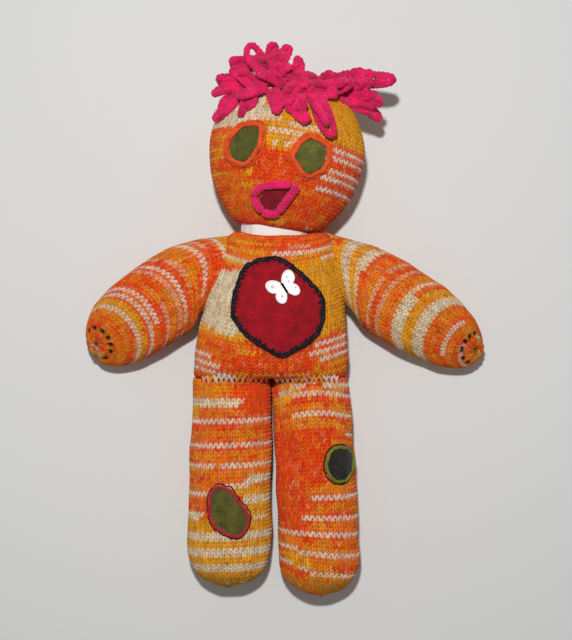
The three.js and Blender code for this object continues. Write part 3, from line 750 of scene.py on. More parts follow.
def skin_object(name, points, colours):
    """A closed mesh from rings of points, with a flat end at each side."""
    count, around = points.shape[:2]
    quads, places = tube_faces(count, around)
    uvs = places / np.array([around, count - 1])
    middles = [points[0].mean(axis=0), points[-1].mean(axis=0)]
    flat = np.concatenate([points.reshape(-1, 3), middles])
    edge = np.arange(around)
    after = (edge + 1) % around
    last = (count - 1) * around
    low = np.stack([np.full(around, len(flat) - 2), after, edge], -1)
    high = np.stack([np.full(around, len(flat) - 1), last + edge, last + after], -1)
    cap_uvs = np.stack([
        np.stack([(edge + 0.5) / around, 0 * edge], -1), np.stack([(edge + 1) / around, 0 * edge], -1),
        np.stack([edge / around, 0 * edge], -1)], 1)
    other_uvs = cap_uvs[:, [0, 2, 1]] + np.array([0, 1])
    end_colours = [colours[0].mean(axis=0), colours[-1].mean(axis=0)]
    all_colours = np.concatenate([colours.reshape(-1, 3), end_colours])
    mid = count // 2
    corner = points[mid, 0]
    normal = np.cross(points[mid, 1] - corner, points[mid + 1, 0] - corner)
    if np.dot(normal, corner - points[mid].mean(axis=0)) < 0:
        quads, low, high = quads[:, ::-1], low[:, ::-1], high[:, ::-1]
        uvs, cap_uvs, other_uvs = uvs[:, ::-1], cap_uvs[:, ::-1], other_uvs[:, ::-1]
    uv_list = np.concatenate([uvs.reshape(-1, 2), cap_uvs.reshape(-1, 2), other_uvs.reshape(-1, 2)])
    return make_object(name, flat, [quads, low, high], uv_list, all_colours)


# Runs of the skins, each from the covered edge where it is sewn on to its closed end

def torso_run():
    over = np.linspace(TORSO_TOP_FOLD, 0, 6)
    down = np.linspace(1, 0, 200)
    aside, deep = (
        np.concatenate([
            over, end_rounding(down * TORSO_HEIGHT, radius)[1:], np.linspace(radius, TORSO_BOTTOM_FOLD, 14),
        ])
        for radius in (BOTTOM_ROUND_SIDE, BOTTOM_ROUND_DEPTH)
    )
    shares = np.concatenate([np.ones(6), down[1:], np.zeros(14)])
    return Run(torso_section, shares, aside, deep, 5)


def leg_run(leg):
    down = np.linspace(0, 1, 260)
    shares = np.concatenate([np.zeros(12), down[1:]])
    rounding = end_rounding(down * leg["length"], LEG_ROUND)
    insets = np.concatenate([np.linspace(LEG_FOLD, LEG_ROUND, 12), rounding[1:]])
    return Run(leg_section(leg), shares, insets, insets, 11.5)


def head_run():
    crown = 1 - (1 - np.cos(np.linspace(0, np.pi / 2, 160))) / 2
    down = np.concatenate([crown, np.linspace(0.5, 0, 160)[1:]])
    shares = np.concatenate([down, np.zeros(8)])
    rounding = end_rounding(down * HEAD_LENGTH, HEAD_ROUND)
    insets = np.concatenate([rounding, np.linspace(HEAD_ROUND, HEAD_FOLD, 8)])
    return Run(head_section, shares, insets, insets, 0)


def arm_run(arm):
    shares = np.concatenate([np.linspace(ARM_FOLD, 0, 20), np.linspace(0, 1, 260)[1:]])
    return Run(arm_section(arm), shares, 0 * shares, 0 * shares, 19)


# Bands of each skin: colour, rows low to high, share of the stitches, and from side to side, where -1 to 1
# is the front. The head's are in mm along it from the neck and across it.

TORSO_BANDS = [
    ("orange", 0, 6, 0.5),
    ("orange", 6, 11, 0.8),
    ("gold", 3, 4, 1, -0.95, -0.15),
    ("gold", 6, 7, 1, -1.0, -0.2),
    ("pink", 4, 5, 0.8, 0.2, 1.2),
    ("red", 5, 6, 0.7, 0.2, 1.2),
    ("white", 6, 7, 0.85, -0.15, 1.2),
    ("gold", 7, 8, 0.8, 0.2, 1.2),
    ("pink", 7, 8, 0.5, -0.15, 0.3),
    ("orange", 8, 9, 1, -0.2, 1.2),
    ("cream", 9, 10, 1, -1.1, -0.4),
    ("gold", 9, 11.3, 1, 0.0, 1.3),
    ("gold", 10, 11.3, 1, -1.3, -0.3),
    ("cream", 10.4, 27.6, 1, -9, -0.3, 0, -4.2),
    ("gold", 10.4, 28.6, 1, 0.05, 9),
    ("white", 9, 10, 0.7, 0.3, 1.1),
    ("gold", 27.6, 29, 0.9, -9, -0.2),
    ("orange", 29, 31, 0.8, -9, -0.3),
    ("gold", 31, 32, 0.8, -9, -0.2),
    ("orange", 32, 41, 0.7, -9, -0.45),
    ("white", 34, 35, 1, -9, -0.74),
    ("white", 36, 37, 1, -9, -0.7),
    ("white", 38, 39, 1, -9, -0.5),
    ("orange", 28.6, 40, 0.6, 0.55, 9),
    ("white", 30, 31, 1, 0.55, 9),
    ("white", 32, 33, 1, 0.42, 9),
    ("white", 34, 35, 1, 0.62, 9),
    ("gold", 36, 37, 0.8, 0.45, 9),
    ("gold", 38, 39, 0.6, 0.3, 9),
    ("gold", 37, 38, 0.75, -0.45, 0.5),
]

HEAD_BANDS = [
    ("gold", 44, 95, 1, -22, 24),
    ("cream", 55.5, 95, 1, -95, -20),
    ("cream", 63, 80, 0.8, -26, -9),
    ("white", 58.4, 60.8, 1, -26, 22, 0.06),
    ("white", 52.6, 55.0, 1, -15, 8, 0.1),
    ("white", 45.7, 48.1, 0.8, -10, 1),
    ("white", 48.2, 50.4, 0.5, 2, 9),
    ("orange", 42, 46, 0.5, -18, 18),
    ("gold", 52, 95, 1, 22, 95),
    ("white", 48.2, 50.4, 0.85, 22, 95),
    ("white", 43.4, 45.6, 1, 22, 95),
    ("white", 36.3, 38.5, 1, 21, 95),
    ("white", 31.7, 33.9, 1, 17, 95),
    ("white", 25.1, 27.3, 1, 21, 95),
    ("orange", 28, 55.5, 0.6, -95, -22),
    ("gold", 47.6, 50.0, 0.9, -95, -26),
    ("gold", 41.6, 44.0, 0.9, -95, -27),
    ("gold", 35.4, 37.8, 0.9, -95, -24),
    ("gold", 28, 30.4, 0.8, -95, -20),
    ("gold", 20.6, 23.0, 0.6, -95, -20),
    ("orange", 12, 28, 0.7, -95, -16),
    ("orange", 12, 26, 0.25, -16, 95),
    ("orange", 4.5, 12, 0.6, -95, 95),
    ("gold", 1.5, 5.0, 0.8),
    ("cream", 1.5, 4.5, 0.2, 5, 95),
]

RIGHT_ARM_BANDS = [
    ("red", -9, 60, 0.42),
    ("gold", -9, 2),
    ("white", 1, 2, 1, -9, -0.15),
    ("red", 3, 6, 0.5),
    ("pink", 4, 5, 0.6, -9, -0.5),
    ("white", 6, 7, 0.85),
    ("amber", 8, 12, 0.5),
    ("pink", 11, 12, 0.7, -9, 0.2),
    ("red", 12, 14, 0.5),
    ("white", 14, 15, 0.92),
    ("pink", 16, 17, 0.85),
    ("amber", 17, 21, 0.3),
    ("pink", 20, 21, 0.85, 0.1, 9),
    ("red", 21, 23, 0.55),
    ("white", 23, 24, 0.92, -9, 0.55),
    ("white", 25, 26),
    ("gold", 27, 29, 0.95),
    ("white", 29, 30),
    ("red", 30, 33, 0.75, -0.3, 9),
    ("amber", 30, 60, 0.45),
    ("ochre", 36, 70, 0.4),
    ("red", 36, 70, 0.3),
    ("white", 41, 42, 0.7),
]

LEFT_ARM_BANDS = [
    ("red", -9, 60, 0.38),
    ("gold", -9, 3),
    ("red", -9, 2, 0.7, -9, -0.6),
    ("cream", 3, 5, 0.85),
    ("gold", 5, 7),
    ("cream", 7, 9, 0.85),
    ("amber", 11, 13, 0.35),
    ("pink", 13, 14, 0.8),
    ("red", 14, 16, 0.5),
    ("pink", 16, 17, 0.9),
    ("amber", 17, 21, 0.45),
    ("white", 21, 22, 0.9, -9, -0.35),
    ("cream", 21, 24, 1, -0.35, 9),
    ("gold", 24, 27, 0.92),
    ("cream", 27, 30),
    ("amber", 31, 34, 0.3),
    ("white", 35, 36, 1, -0.7, 0.85),
    ("amber", 37, 70, 0.6),
    ("ochre", 38, 70, 0.4),
    ("red", 38, 70, 0.35),
    ("white", 40, 41, 0.6),
]

RIGHT_LEG_BANDS = [
    ("red", 0, 34, 0.32),
    ("amber", 0, 5, 0.75, -9, -0.1),
    ("red", 0, 10, 0.97, 0.04, 1.9),
    ("cream", 5, 7, 1, -9, 0.1),
    ("cream", 5, 6, 1, 0.1, 0.3),
    ("gold", 7, 10, 1, -9, -0.8),
    ("amber", 8, 9, 0.6, -0.8, 0.3),
    ("white", 10, 11),
    ("red", 12, 13, 0.5),
    ("amber", 13, 15, 0.5),
    ("white", 16, 17),
    ("red", 17, 18, 0.5),
    ("amber", 18, 20, 0.6),
    ("white", 21, 22, 0.97),
    ("amber", 22, 28, 0.35),
    ("cream", 24, 26, 1, 0.45, 9),
    ("white", 26, 27, 0.85, -0.2, 0.5),
    ("gold", 27, 29, 1, 0.1, 9),
    ("white", 28, 29, 1, -9, -0.55),
    ("cream", 29, 31, 1, 0.35, 9),
    ("gold", 31, 35, 1, 0.3, 9),
    ("cream", 34, 35, 0.7, 0.6, 9),
    ("red", 30, 33, 0.5, -9, -0.5),
    ("cream", 33, 34, 1, -9, -0.5),
    ("cream", 34, 35, 1, -9, -0.72),
    ("gold", 35, 38),
    ("cream", 38, 40),
    ("gold", 40, 42),
    ("cream", 42, 44),
    ("gold", 44, 46),
    ("cream", 46, 48),
    ("gold", 48, 50),
    ("ochre", 50, 90),
    ("cream", 51, 90, 0.25),
]

LEFT_LEG_BANDS = [
    ("amber", 0, 12, 0.4),
    ("red", 0, 12, 0.42),
    ("red", 0, 1, 1, 0.4, 9),
    ("cream", 1, 2, 0.8, 0.3, 9),
    ("cream", 0.2, 1.5, 1, -0.95, 0.1, 2.6),
    ("gold", 1.5, 3.6, 1, -0.95, -0.2, 2.0),
    ("white", 3, 4, 1, -0.6, 9),
    ("red", 4, 5, 0.5, -0.6, 0.6),
    ("white", 8, 9, 1, -0.5, 9),
    ("amber", 10, 12, 0.75, -0.6, 9),
    ("red", 12, 27, 0.94, -9, 0.5),
    ("red", 12, 20, 0.3, 0.5, 9),
    ("white", 13, 14, 1, 0.8, 9),
    ("amber", 15, 20, 0.4, 0.5, 9),
    ("red", 27, 38, 0.8, -9, -0.3),
    ("red", 27, 38, 0.25, -0.3, 9),
    ("amber", 26, 28, 0.8, -0.1, 9),
    ("white", 29, 30, 1, -0.18, 9),
    ("amber", 31, 33, 0.6, -0.1, 9),
    ("white", 34, 35, 1, -0.5, 9),
    ("amber", 36, 37, 0.7, -0.3, 9),
    ("red", 38, 50, 0.3),
    ("white", 38, 39),
    ("amber", 40, 43, 0.5),
    ("white", 43, 44, 1, -0.55, 9),
    ("cream", 42, 43, 1, -9, -0.55),
    ("gold", 44, 48, 0.9, -9, -0.35),
    ("amber", 45, 48, 0.5, -0.35, 0.4),
    ("white", 48, 49, 1, -0.3, 9),
    ("cream", 47, 48, 1, -0.65, -0.3),
    ("cream", 46, 47, 1, -9, -0.65),
    ("amber", 49, 90, 0.75),
    ("ochre", 50, 90, 0.4),
]


# Gathers, bows and the pieces

def ridge(away, width):
    """A round ridge of height 1, by the distance from its top."""
    return np.exp(-((away / width) ** 2))


def hand_gather(arm):
    """The drawn-in end of a hand: an arc of holes between stitches, and puckers inside it."""
    ring = arm["hole_ring"]

    def gather(row, left, turn, points):
        flat = np.linalg.norm(points[..., :2] - np.array(arm["gather"]), axis=-1)
        behind = np.maximum(0, arm["depth"] / 2 - points[..., 2])
        away = np.where(row < HAND_ROWS, np.inf, flat + 4 * behind)
        offset = points - points[np.unravel_index(np.argmin(away), away.shape)]
        distance = np.linalg.norm(offset, axis=-1)
        angle = np.arctan2(offset[..., 1], offset[..., 0])
        facing = 0.15 + 0.85 * smooth(0.55 + 0.7 * np.cos(angle - arm["holes_face"]))
        parted = smooth(0.5 + 0.9 * np.cos(HAND_HOLES * angle + 1.1 * np.sin(3 * angle)))
        holes = ridge(distance - ring, HOLE_SIZE) * parted * facing
        turned = HAND_FOLDS * angle + HAND_TWIST * distance
        folds = HAND_FOLD_HEIGHT * np.cos(turned) * smooth(distance / 3)
        rim_share, rim_width, rim_height = HAND_RIM
        rim = rim_height * ridge(distance - rim_share * ring, rim_width)
        sunk = HAND_DIMPLE[1] * ridge(distance, HAND_DIMPLE[0])
        near = smooth((ring + 3.5 - distance) / 3) * (row > HAND_ROWS)
        return near, folds + rim - sunk - HOLE_DEPTH * holes

    return gather


def foot_gather(row, left, turn, points):
    """Stitches drawn in round the closed end of a foot."""
    wave = np.cos(2 * np.pi * FOOT_FOLDS * turn + 0.6 * np.sin(6 * np.pi * turn))
    return smooth(1 - left * STITCH_HEIGHT / FOOT_REACH), wave


def arm_bow(arm):
    """Rows that bow towards the hand along both sides of an arm, less so further out."""
    high, low = arm["bow"]

    def shift(row, left, c):
        rows = np.where(c < 0, high, low) * (1 - 0.75 * smooth(row / 30)) * smooth(left / 8)
        return STITCH_HEIGHT * rows * c**2

    return shift


def right_leg_bow(row, left, c):
    """Rows that climb a little from one side of a leg to the other."""
    return STITCH_HEIGHT * -0.55 * c * smooth(row / 12) * smooth(left / 6)


def left_leg_bow(row, left, c):
    """Rows that bow at the top of a leg and slant further down."""
    lower = smooth((row - 8) / 24)
    slant = np.clip(0.3 + 0.08 * (row - 30), 0, 1.8)
    rows = 1.8 * c**2 * smooth(row / 4) * (1 - lower) + slant * c * lower
    return STITCH_HEIGHT * rows * smooth(left / 6)


def dipped_collar(points):
    """Lowers the front of the body's top edge under the chin."""
    aside = np.exp(-(((points[..., 0] - COLLAR_X) / COLLAR_REACH) ** 4))
    top = TORSO_BOTTOM + TORSO_HEIGHT
    near = smooth((points[..., 1] - top + 14) / 14) * smooth((points[..., 2] - NECK_Z + 6) / 10)
    points[..., 1] -= COLLAR_DIP * aside * near
    return points


def blended(part, start, end):
    """The blend of a limb's skin, from all body at start to all limb at end."""
    return "torso", part, (np.array(start) * MM).tolist(), (np.array(end) * MM).tolist()


def hip_blend(part):
    return blended(part, (0, TORSO_BOTTOM, HIP_HEIGHT), (0, TORSO_BOTTOM - LEG_BLEND, HIP_HEIGHT))


knit(
    "torso", torso_run(), 0.35, TORSO_BANDS, "red", body="torso", settle=dipped_collar,
    shift=lambda row, left, c: -9.5 * c**2 * smooth((row + 2) / 14),
)
head = head_run()
knit(
    "head", head, 0.5, HEAD_BANDS, "red", body="head", side_scale=HEAD_WIDTH / 2,
    shift=lambda row, left, c: 3.2 * c**2 * smooth(row / 12) * smooth(left / 10),
    levels=lambda level: np.interp(level * STITCH_HEIGHT, head.places, head.shares) * HEAD_LENGTH,
)
for part, arm, bands in (("right_arm", RIGHT_ARM, RIGHT_ARM_BANDS), ("left_arm", LEFT_ARM, LEFT_ARM_BANDS)):
    _, inwards, root = arm_root(arm)
    knit(
        part, arm_run(arm), 0.4, bands, "orange", blend=blended(part, root, root - inwards * ARM_BLEND),
        shift=arm_bow(arm), gather=hand_gather(arm),
    )
for part, leg, bands, bow in (
    ("right_leg", RIGHT_LEG, RIGHT_LEG_BANDS, right_leg_bow),
    ("left_leg", LEFT_LEG, LEFT_LEG_BANDS, left_leg_bow),
):
    knit(part, leg_run(leg), 0.4, bands, "orange", blend=hip_blend(part), shift=bow, gather=foot_gather)


# Surfaces of the skins, for the pieces that lie on them

FRONTS = {
    "torso": (torso_section, np.array([0, TORSO_BOTTOM]), np.array([0, 1]), TORSO_HEIGHT),
    "head": (head_section, np.array([NECK_X, HEAD_BOTTOM]), HEAD_UP[:2], HEAD_LENGTH),
}
for part, leg in (("right_leg", RIGHT_LEG), ("left_leg", LEFT_LEG)):
    leg_top, leg_down, _ = leg_axis(leg)
    FRONTS[part] = (leg_section(leg), leg_top[:2], leg_down[:2], leg["length"])


def front_height(name, places):
    """Height of a form's front over places in plan."""
    section, origin, axis, length = FRONTS[name]
    share = np.clip((places - origin) @ axis / length, 0, 1)
    middle, across, _, half_width, half_depth = section(share)
    offset = ((places - middle[..., :2]) * across[..., :2]).sum(axis=-1)
    aside = np.clip(np.abs(offset) / np.maximum(half_width, 0.1), 0, 0.99)
    return middle[..., 2] + half_depth * (1 - aside**ROUNDNESS) ** (1 / ROUNDNESS)


def on_front(name, places, lift):
    """Points over a form's front, lift above its lumpy surface and square to it."""
    step = 1.0
    height = front_height(name, places)
    dx = front_height(name, places + (step, 0)) - front_height(name, places - (step, 0))
    dy = front_height(name, places + (0, step)) - front_height(name, places - (0, step))
    normal = unit(np.stack([-dx / (2 * step), -dy / (2 * step), np.ones_like(dx)], -1))
    points = np.concatenate([places, height[..., None]], -1)
    lumps = LUMP_HEIGHT * wave_noise(points, LUMP_SIZE, SEEDS[name])
    return points + normal * (lumps + lift)[..., None]


# Yarn and felt

class Heap:
    """Tubes of points that together make one mesh."""

    def __init__(self):
        self.points, self.quads, self.fans, self.count = [], [], [], 0

    def add(self, rings, closed=False):
        rows, around = rings.shape[:2]
        quads, _ = tube_faces(rows, around, self.count)
        self.points.append(rings.reshape(-1, 3))
        self.quads.append(quads)
        first, last = self.count, self.count + (rows - 1) * around
        edge = np.arange(around)
        after = (edge + 1) % around
        self.count += rows * around
        if closed:
            self.quads.append(np.stack([last + edge, last + after, first + after, first + edge], -1))
            return
        self.points.append(np.stack([rings[0].mean(axis=0), rings[-1].mean(axis=0)]))
        self.fans.append(np.stack([0 * edge + self.count, first + after, first + edge], -1))
        self.fans.append(np.stack([0 * edge + self.count + 1, last + edge, last + after], -1))
        self.count += 2

    def build(self, name):
        faces = [np.concatenate(self.quads)]
        if self.fans:
            faces.append(np.concatenate(self.fans))
        return make_object(name, np.concatenate(self.points), faces)


def through(points, spacing, closed=False):
    """Evenly spaced points on a smooth curve through a few."""
    p = np.asarray(points, float)
    if closed:
        ends = np.concatenate([p[-1:], p, p[:2]])
    else:
        ends = np.concatenate([2 * p[:1] - p[1:2], p, 2 * p[-1:] - p[-2:-1]])
    t = np.linspace(0, 1, 25)[:-1, None]
    pieces = []
    for a, b, c, d in zip(ends, ends[1:], ends[2:], ends[3:]):
        pieces.append(0.5 * (2 * b + (c - a) * t + (2 * a - 5 * b + 4 * c - d) * t**2
                             + (3 * b - a - 3 * c + d) * t**3))
    curve = np.concatenate(pieces + [p[:1] if closed else p[-1:]])
    return evenly(curve, spacing, closed)


def evenly(curve, spacing, closed=False):
    gone = np.concatenate([[0], np.cumsum(np.linalg.norm(np.diff(curve, axis=0), axis=1))])
    count = max(3, int(round(gone[-1] / spacing)))
    wanted = np.linspace(0, gone[-1], count + 1)
    if closed:
        wanted = wanted[:-1]
    return np.stack([np.interp(wanted, gone, curve[:, k]) for k in range(curve.shape[1])], -1)


def ply_section(angle, plies):
    """Radius of a bundle of round plies, as a share of its largest."""
    part = 2 * np.pi / plies
    aside = np.abs((angle + part / 2) % part - part / 2)
    height = np.sqrt(np.maximum(0, PLY_RADIUS**2 - (PLY_AWAY * np.sin(aside)) ** 2))
    return PLY_AWAY * np.cos(aside) + height


def strand(heap, path, radius, closed=False, plies=3, turn=6.0, sides=15, swell=None, depth=1.0):
    """Plied yarn of a radius along evenly spaced points, its plies more or less deeply parted."""
    count = len(path)
    ahead = unit(
        np.roll(path, -1, axis=0) - np.roll(path, 1, axis=0) if closed else np.gradient(path, axis=0)
    )
    normal = np.cross(ahead[0], (0.3, 0.2, 0.93))
    normals = []
    for direction in ahead:
        normal = unit(normal - direction * np.dot(normal, direction))
        normals.append(normal)
    normals = np.array(normals)
    across = np.cross(ahead, normals)
    spacing = np.linalg.norm(path[1] - path[0])
    phase = 2 * np.pi * np.arange(count) * spacing / turn
    if closed:
        back = normals[-1] - ahead[0] * np.dot(normals[-1], ahead[0])
        slip = math.atan2(np.dot(across[0], back), np.dot(normals[0], back))
        part = 2 * np.pi / plies
        whole = round((2 * np.pi * count * spacing / turn - slip) / part) * part
        phase = np.arange(count) / count * (whole + slip)
    angle = np.linspace(0, 2 * np.pi, sides, endpoint=False)
    thick = np.full(count, float(radius))
    if swell is not None:
        thick = thick * swell
    if not closed:
        reach = np.minimum(np.arange(count), np.arange(count)[::-1]) * spacing
        thick = thick * np.sqrt(np.clip(1 - (1 - np.minimum(1, (reach + 0.1) / radius)) ** 2, 0.02, 1))
    size = thick[:, None] * lerp(1, ply_section(angle[None, :] - phase[:, None], plies), depth)
    rings = (path[:, None] + normals[:, None] * (size * np.cos(angle))[..., None]
             + across[:, None] * (size * np.sin(angle))[..., None])
    heap.add(rings, closed)


def counterclockwise(outline):
    p = np.asarray(outline, float)
    turned = np.roll(p, -1, axis=0)
    area = (p[:, 0] * turned[:, 1] - turned[:, 0] * p[:, 1]).sum()
    return p if area > 0 else p[::-1]


def outward(curve):
    """Directions in plan out of a closed curve that runs anticlockwise."""
    ahead = np.roll(curve, -1, axis=0) - np.roll(curve, 1, axis=0)
    return unit(np.stack([ahead[:, 1], -ahead[:, 0]], -1))


def outline_curve(outline, at, grow=0.0, sharp=False):
    """Evenly spaced points round an outline about its own middle, which can be grown."""
    p = counterclockwise(outline)
    closed = np.concatenate([p, p[:1]])
    curve = evenly(closed, OUTLINE_SPACING, True) if sharp else through(p, OUTLINE_SPACING, True)
    return curve + outward(curve) * grow + np.asarray(at, float)[:2]


def felt(name, form, curve, high, seed):
    """Felt cut to a closed curve on a form, up to a height over its skin, with a soft edge."""
    middle = curve.mean(axis=0)
    spokes = curve - middle
    reach = np.linalg.norm(spokes, axis=1, keepdims=True)
    rings = [(spokes * (1 - inset / reach), lerp(FELT_BOTTOM, high, share)) for inset, share in FELT_EDGE]
    top = rings[-1][0]
    steps = max(4, int(reach.mean() / FELT_STEP))
    rings += [(top * share, high) for share in np.linspace(1, 0.03, steps)[1:]]
    points = []
    for offset, height in rings:
        place = np.concatenate([offset, np.full((len(offset), 1), height)], -1)
        rough = 0.10 * wave_noise(place, 2.4, seed) + 0.05 * wave_noise(place, 0.9, seed + 1)
        points.append(on_front(form, middle + offset * (1 + 0.02 * rough[:, None]), height + rough))
    heap = Heap()
    heap.add(np.stack(points))
    return heap.build(name)


def couched(heap, name, curve, radius, height, turn=5.0, wobble=0.3, seed=0, plies=3):
    """Yarn laid on a skin along a closed curve in plan."""
    lift = height + radius + wobble * 0.5 * wave_noise(curve, 7, seed)
    moved = curve + wobble * np.stack([wave_noise(curve, 6, seed + 1), wave_noise(curve, 6, seed + 2)], -1)
    strand(heap, on_front(name, moved, lift), radius, True, plies, turn)


EYE_LINE = np.array([math.cos(EYE_SLOPE), -math.sin(EYE_SLOPE)])
RIGHT_EYE = [
    (-1.2, 8.9), (7.5, 9.6), (8.3, 4.9), (6.7, -2.2), (0.4, -9.3), (-7.1, -6.2), (-8.3, 0.2), (-5.9, 4.1),
]
LEFT_EYE = [
    (-0.7, 9.3), (3.3, 8.1), (8, 4.9), (8.4, 1), (7.2, -4.5), (3.3, -7.6), (-2.3, -9.2), (-7.8, -2.1),
    (-9, 0.3), (-5.4, 5.7),
]
MOUTH = [(-2.9, 5.2), (8.4, 5.6), (8.2, 2.9), (1.2, -5.1), (-4.4, -5.1), (-6.8, 0.5)]

eye_yarn = yarn_material("eye_yarn", EYE_ORANGE, 0.62, 1.2)
for name, outline, side in (("right", RIGHT_EYE, -1), ("left", LEFT_EYE, 1)):
    at = in_head(FACE_SHIFT, EYE_HEIGHT)[:2] + EYE_LINE * side * EYE_SPACING / 2
    eye = felt(f"{name}_eye_patch", "head", outline_curve(outline, at), YARN_TOP + 1.0, 60 + side)
    eye_felt = felt_material(f"{name}_eye_felt", EYE_FELT[name], 0.6, 1.35)
    finish_piece(eye, eye_felt, "eye_felt", [f"{name}_eye_felt"], "head")
    heap = Heap()
    couched(heap, "head", outline_curve(outline, at, grow=1.2), 1.5, YARN_TOP, 4.6, 0.35, seed=70 + side)
    couched(
        heap, "head", outline_curve(outline, at, grow=3.2), 0.8, YARN_TOP - 0.4, 3.0, 0.4,
        seed=74 + side, plies=2,
    )
    finish_piece(heap.build(f"{name}_eye_ring"), eye_yarn, "eye_yarn", [f"{name}_eye_outline"], "head")

mouth_at = in_head(FACE_SHIFT + MOUTH_SHIFT, MOUTH_HEIGHT)[:2]
mouth_curve = outline_curve(MOUTH, mouth_at, sharp=True, grow=2.0)
finish_piece(
    felt("mouth_patch", "head", mouth_curve, YARN_TOP + 0.7, 80),
    felt_material("mouth_felt", MOUTH_FELT, 0.5, 1.3), "mouth_felt", ["mouth_felt"], "head",
)
LIPS = [
    [(-6.4, 8.4), (1.2, 9.3), (9.4, 9.0)],
    [(13.2, 8.6), (7.2, 1.2), (2.4, -5.2)],
    [(2.8, -6.0), (-2.2, -6.4), (-6.8, -5.6)],
    [(-7.2, -5.2), (-9.6, -0.8), (-11.6, 3.2)],
    [(-11.8, 3.6), (-9.4, 6.4), (-5.6, 8.8)],
]


def make_lips():
    """Five pieces of thick yarn round the mouth, each arched between its two ends."""
    heap = Heap()
    for k, line in enumerate(LIPS):
        path = through(line, 0.35) + mouth_at
        share = np.clip(np.linspace(0, 1, len(path)), 0.04, 0.96)
        lift = YARN_TOP + LIP_LIFT + LIP_ARCH * np.sin(np.pi * share) ** 0.5 + 0.3 * (k % 2)
        swell = 1 + 0.06 * wave_noise(path, 5, 84 + k)
        strand(heap, on_front("head", path, lift), LIP_RADIUS, False, 3, 7.0, 18, swell, depth=0.7)
    return heap.build("lips")


finish_piece(
    make_lips(), yarn_material("lip_yarn", LIP_PINK, 0.6, 1.25), "lip_yarn", ["mouth_outline"], "head",
)

# Chest patch

CHEST_PATCH = [
    (-4.7, 28.6), (4, 26.6), (18.5, 14.5), (25, 5.5), (25.8, -4.8), (23.4, -14.6), (15.6, -22),
    (3, -28.6), (-3, -26.6), (-17, -17.6), (-25.4, -7.6), (-26.6, -4), (-25.6, 5.4), (-20.6, 20.6),
    (-15.6, 25.4),
]


def blanket_stitch(name, form, curve, high, seed):
    """Yarn along a felt edge, with stitches that run in from it."""
    rng = np.random.default_rng(seed)
    heap = Heap()
    spokes = curve - curve.mean(axis=0)
    inner = curve - unit(spokes) * INNER_YARN
    couched(heap, form, curve, BLANKET_RADIUS * 1.45, high - 1.2, 3.8, 0.45, seed)
    couched(heap, form, inner, BLANKET_RADIUS * 1.1, high - 0.5, 3.4, 0.6, seed + 9)
    out = outward(curve)
    step = np.linalg.norm(curve[1] - curve[0])
    share = np.linspace(-0.15, 1, 9)[:, None]
    sunk = 1.4 * smooth((share[:, 0] - 0.75) / 0.25) + 1.2 * smooth(-share[:, 0] / 0.15)
    for k in range(int(len(curve) * step / BLANKET_SPACING)):
        place = int((k + rng.uniform(-0.2, 0.2)) * BLANKET_SPACING / step) % len(curve)
        inwards = -out[place]
        along = np.array([-inwards[1], inwards[0]]) * rng.normal(0, 0.22)
        length = BLANKET_REACH * rng.uniform(0.6, 1.25)
        path = curve[place] + (inwards + along) * share * length
        points = evenly(on_front(form, path, high + BLANKET_RADIUS * 0.7 - sunk), 0.3)
        strand(heap, points, BLANKET_RADIUS * rng.uniform(0.85, 1.15), False, 2, 3.0, 10)
    return heap.build(name)


chest_curve = outline_curve(CHEST_PATCH, CHEST_AT)
finish_piece(
    felt("chest_felt", "torso", chest_curve, CHEST_HIGH, 90),
    felt_material("chest_felt", CHEST_FELT, 0.66, 1.3), "chest_felt", ["chest_patch"], "torso",
)
black_yarn = yarn_material("black_yarn", BLACK_YARN, 0.5, 2.2, sheen=0.1)
finish_piece(
    blanket_stitch("chest_stitches", "torso", chest_curve, CHEST_HIGH, 91), black_yarn, "black_yarn",
    ["chest_stitching"], "torso",
)

# Knee patches

RIGHT_KNEE = [
    (-4.7, 14.8), (1, 12.6), (6, 5.5), (10.6, -0.2), (11.8, -5.3), (8.9, -12.4), (4.1, -15), (-1.2, -13.1),
    (-7.7, -8.9), (-10.1, -3.8), (-10.8, 3.3), (-10.5, 9), (-8, 13.4),
]
LEFT_KNEE = [
    (0, 10), (5.6, 7.5), (7.7, 1.6), (6.7, -5.8), (2.6, -10.6), (-3, -10.1), (-6.7, -5.3), (-7.7, 1.6),
    (-5.1, 8),
]


def knee_patch(side, leg, outline, at, patch, yarn, yarn_radius, edge_radius):
    """A felt patch with thick yarn over its edge and thin black yarn beside that: the edge of the black felt
    on the left knee, and a painted shadow of the red yarn on the right knee.
    """
    part = f"{side}_leg"
    top, down, across = leg_axis(leg)
    middle = top + down * at[1] + across * at[0]
    knee = felt(
        f"{side}_knee_felt", part, outline_curve(outline, middle), YARN_TOP + 0.9, 100 + leg["side"],
    )
    finish_piece(knee, *patch, [f"{side}_knee_patch"], part)
    heap = Heap()
    couched(
        heap, part, outline_curve(outline, middle, grow=-0.2), yarn_radius, YARN_TOP + 0.2, 4.4, 0.45,
        seed=104 + leg["side"],
    )
    finish_piece(heap.build(f"{side}_knee_yarn"), *yarn, [f"{side}_knee_stitching"], part)
    # Thin black yarn outside the thick yarn: painted shadow on the right knee, the black felt's edge on the
    # left knee
    heap = Heap()
    couched(
        heap, part, outline_curve(outline, middle, grow=yarn_radius + 0.35), edge_radius, YARN_TOP - 0.4,
        3.0, 0.5, seed=108 + leg["side"], plies=2,
    )
    finish_piece(heap.build(f"{side}_knee_edge_and_shadow"), black_yarn, "black_yarn", [], part)


knee_patch(
    "right", RIGHT_LEG, RIGHT_KNEE, RIGHT_KNEE_AT,
    (felt_material("knee_felt", KNEE_FELT, 0.55, 1.4), "knee_felt"),
    (yarn_material("knee_yarn", KNEE_RED, 0.6, 1.3), "knee_yarn"), 1.0, 0.45,
)
knee_patch(
    "left", LEFT_LEG, LEFT_KNEE, LEFT_KNEE_AT,
    (felt_material("dark_felt", DARK_FELT, 0.5, 1.8), "dark_felt"),
    (yarn_material("green_yarn", LEAF_GREEN, 0.6, 1.3), "green_yarn"), 0.95, 0.5,
)

# Yarn that draws the ends of hands and feet together. Each has a point inside the limb and its reach.

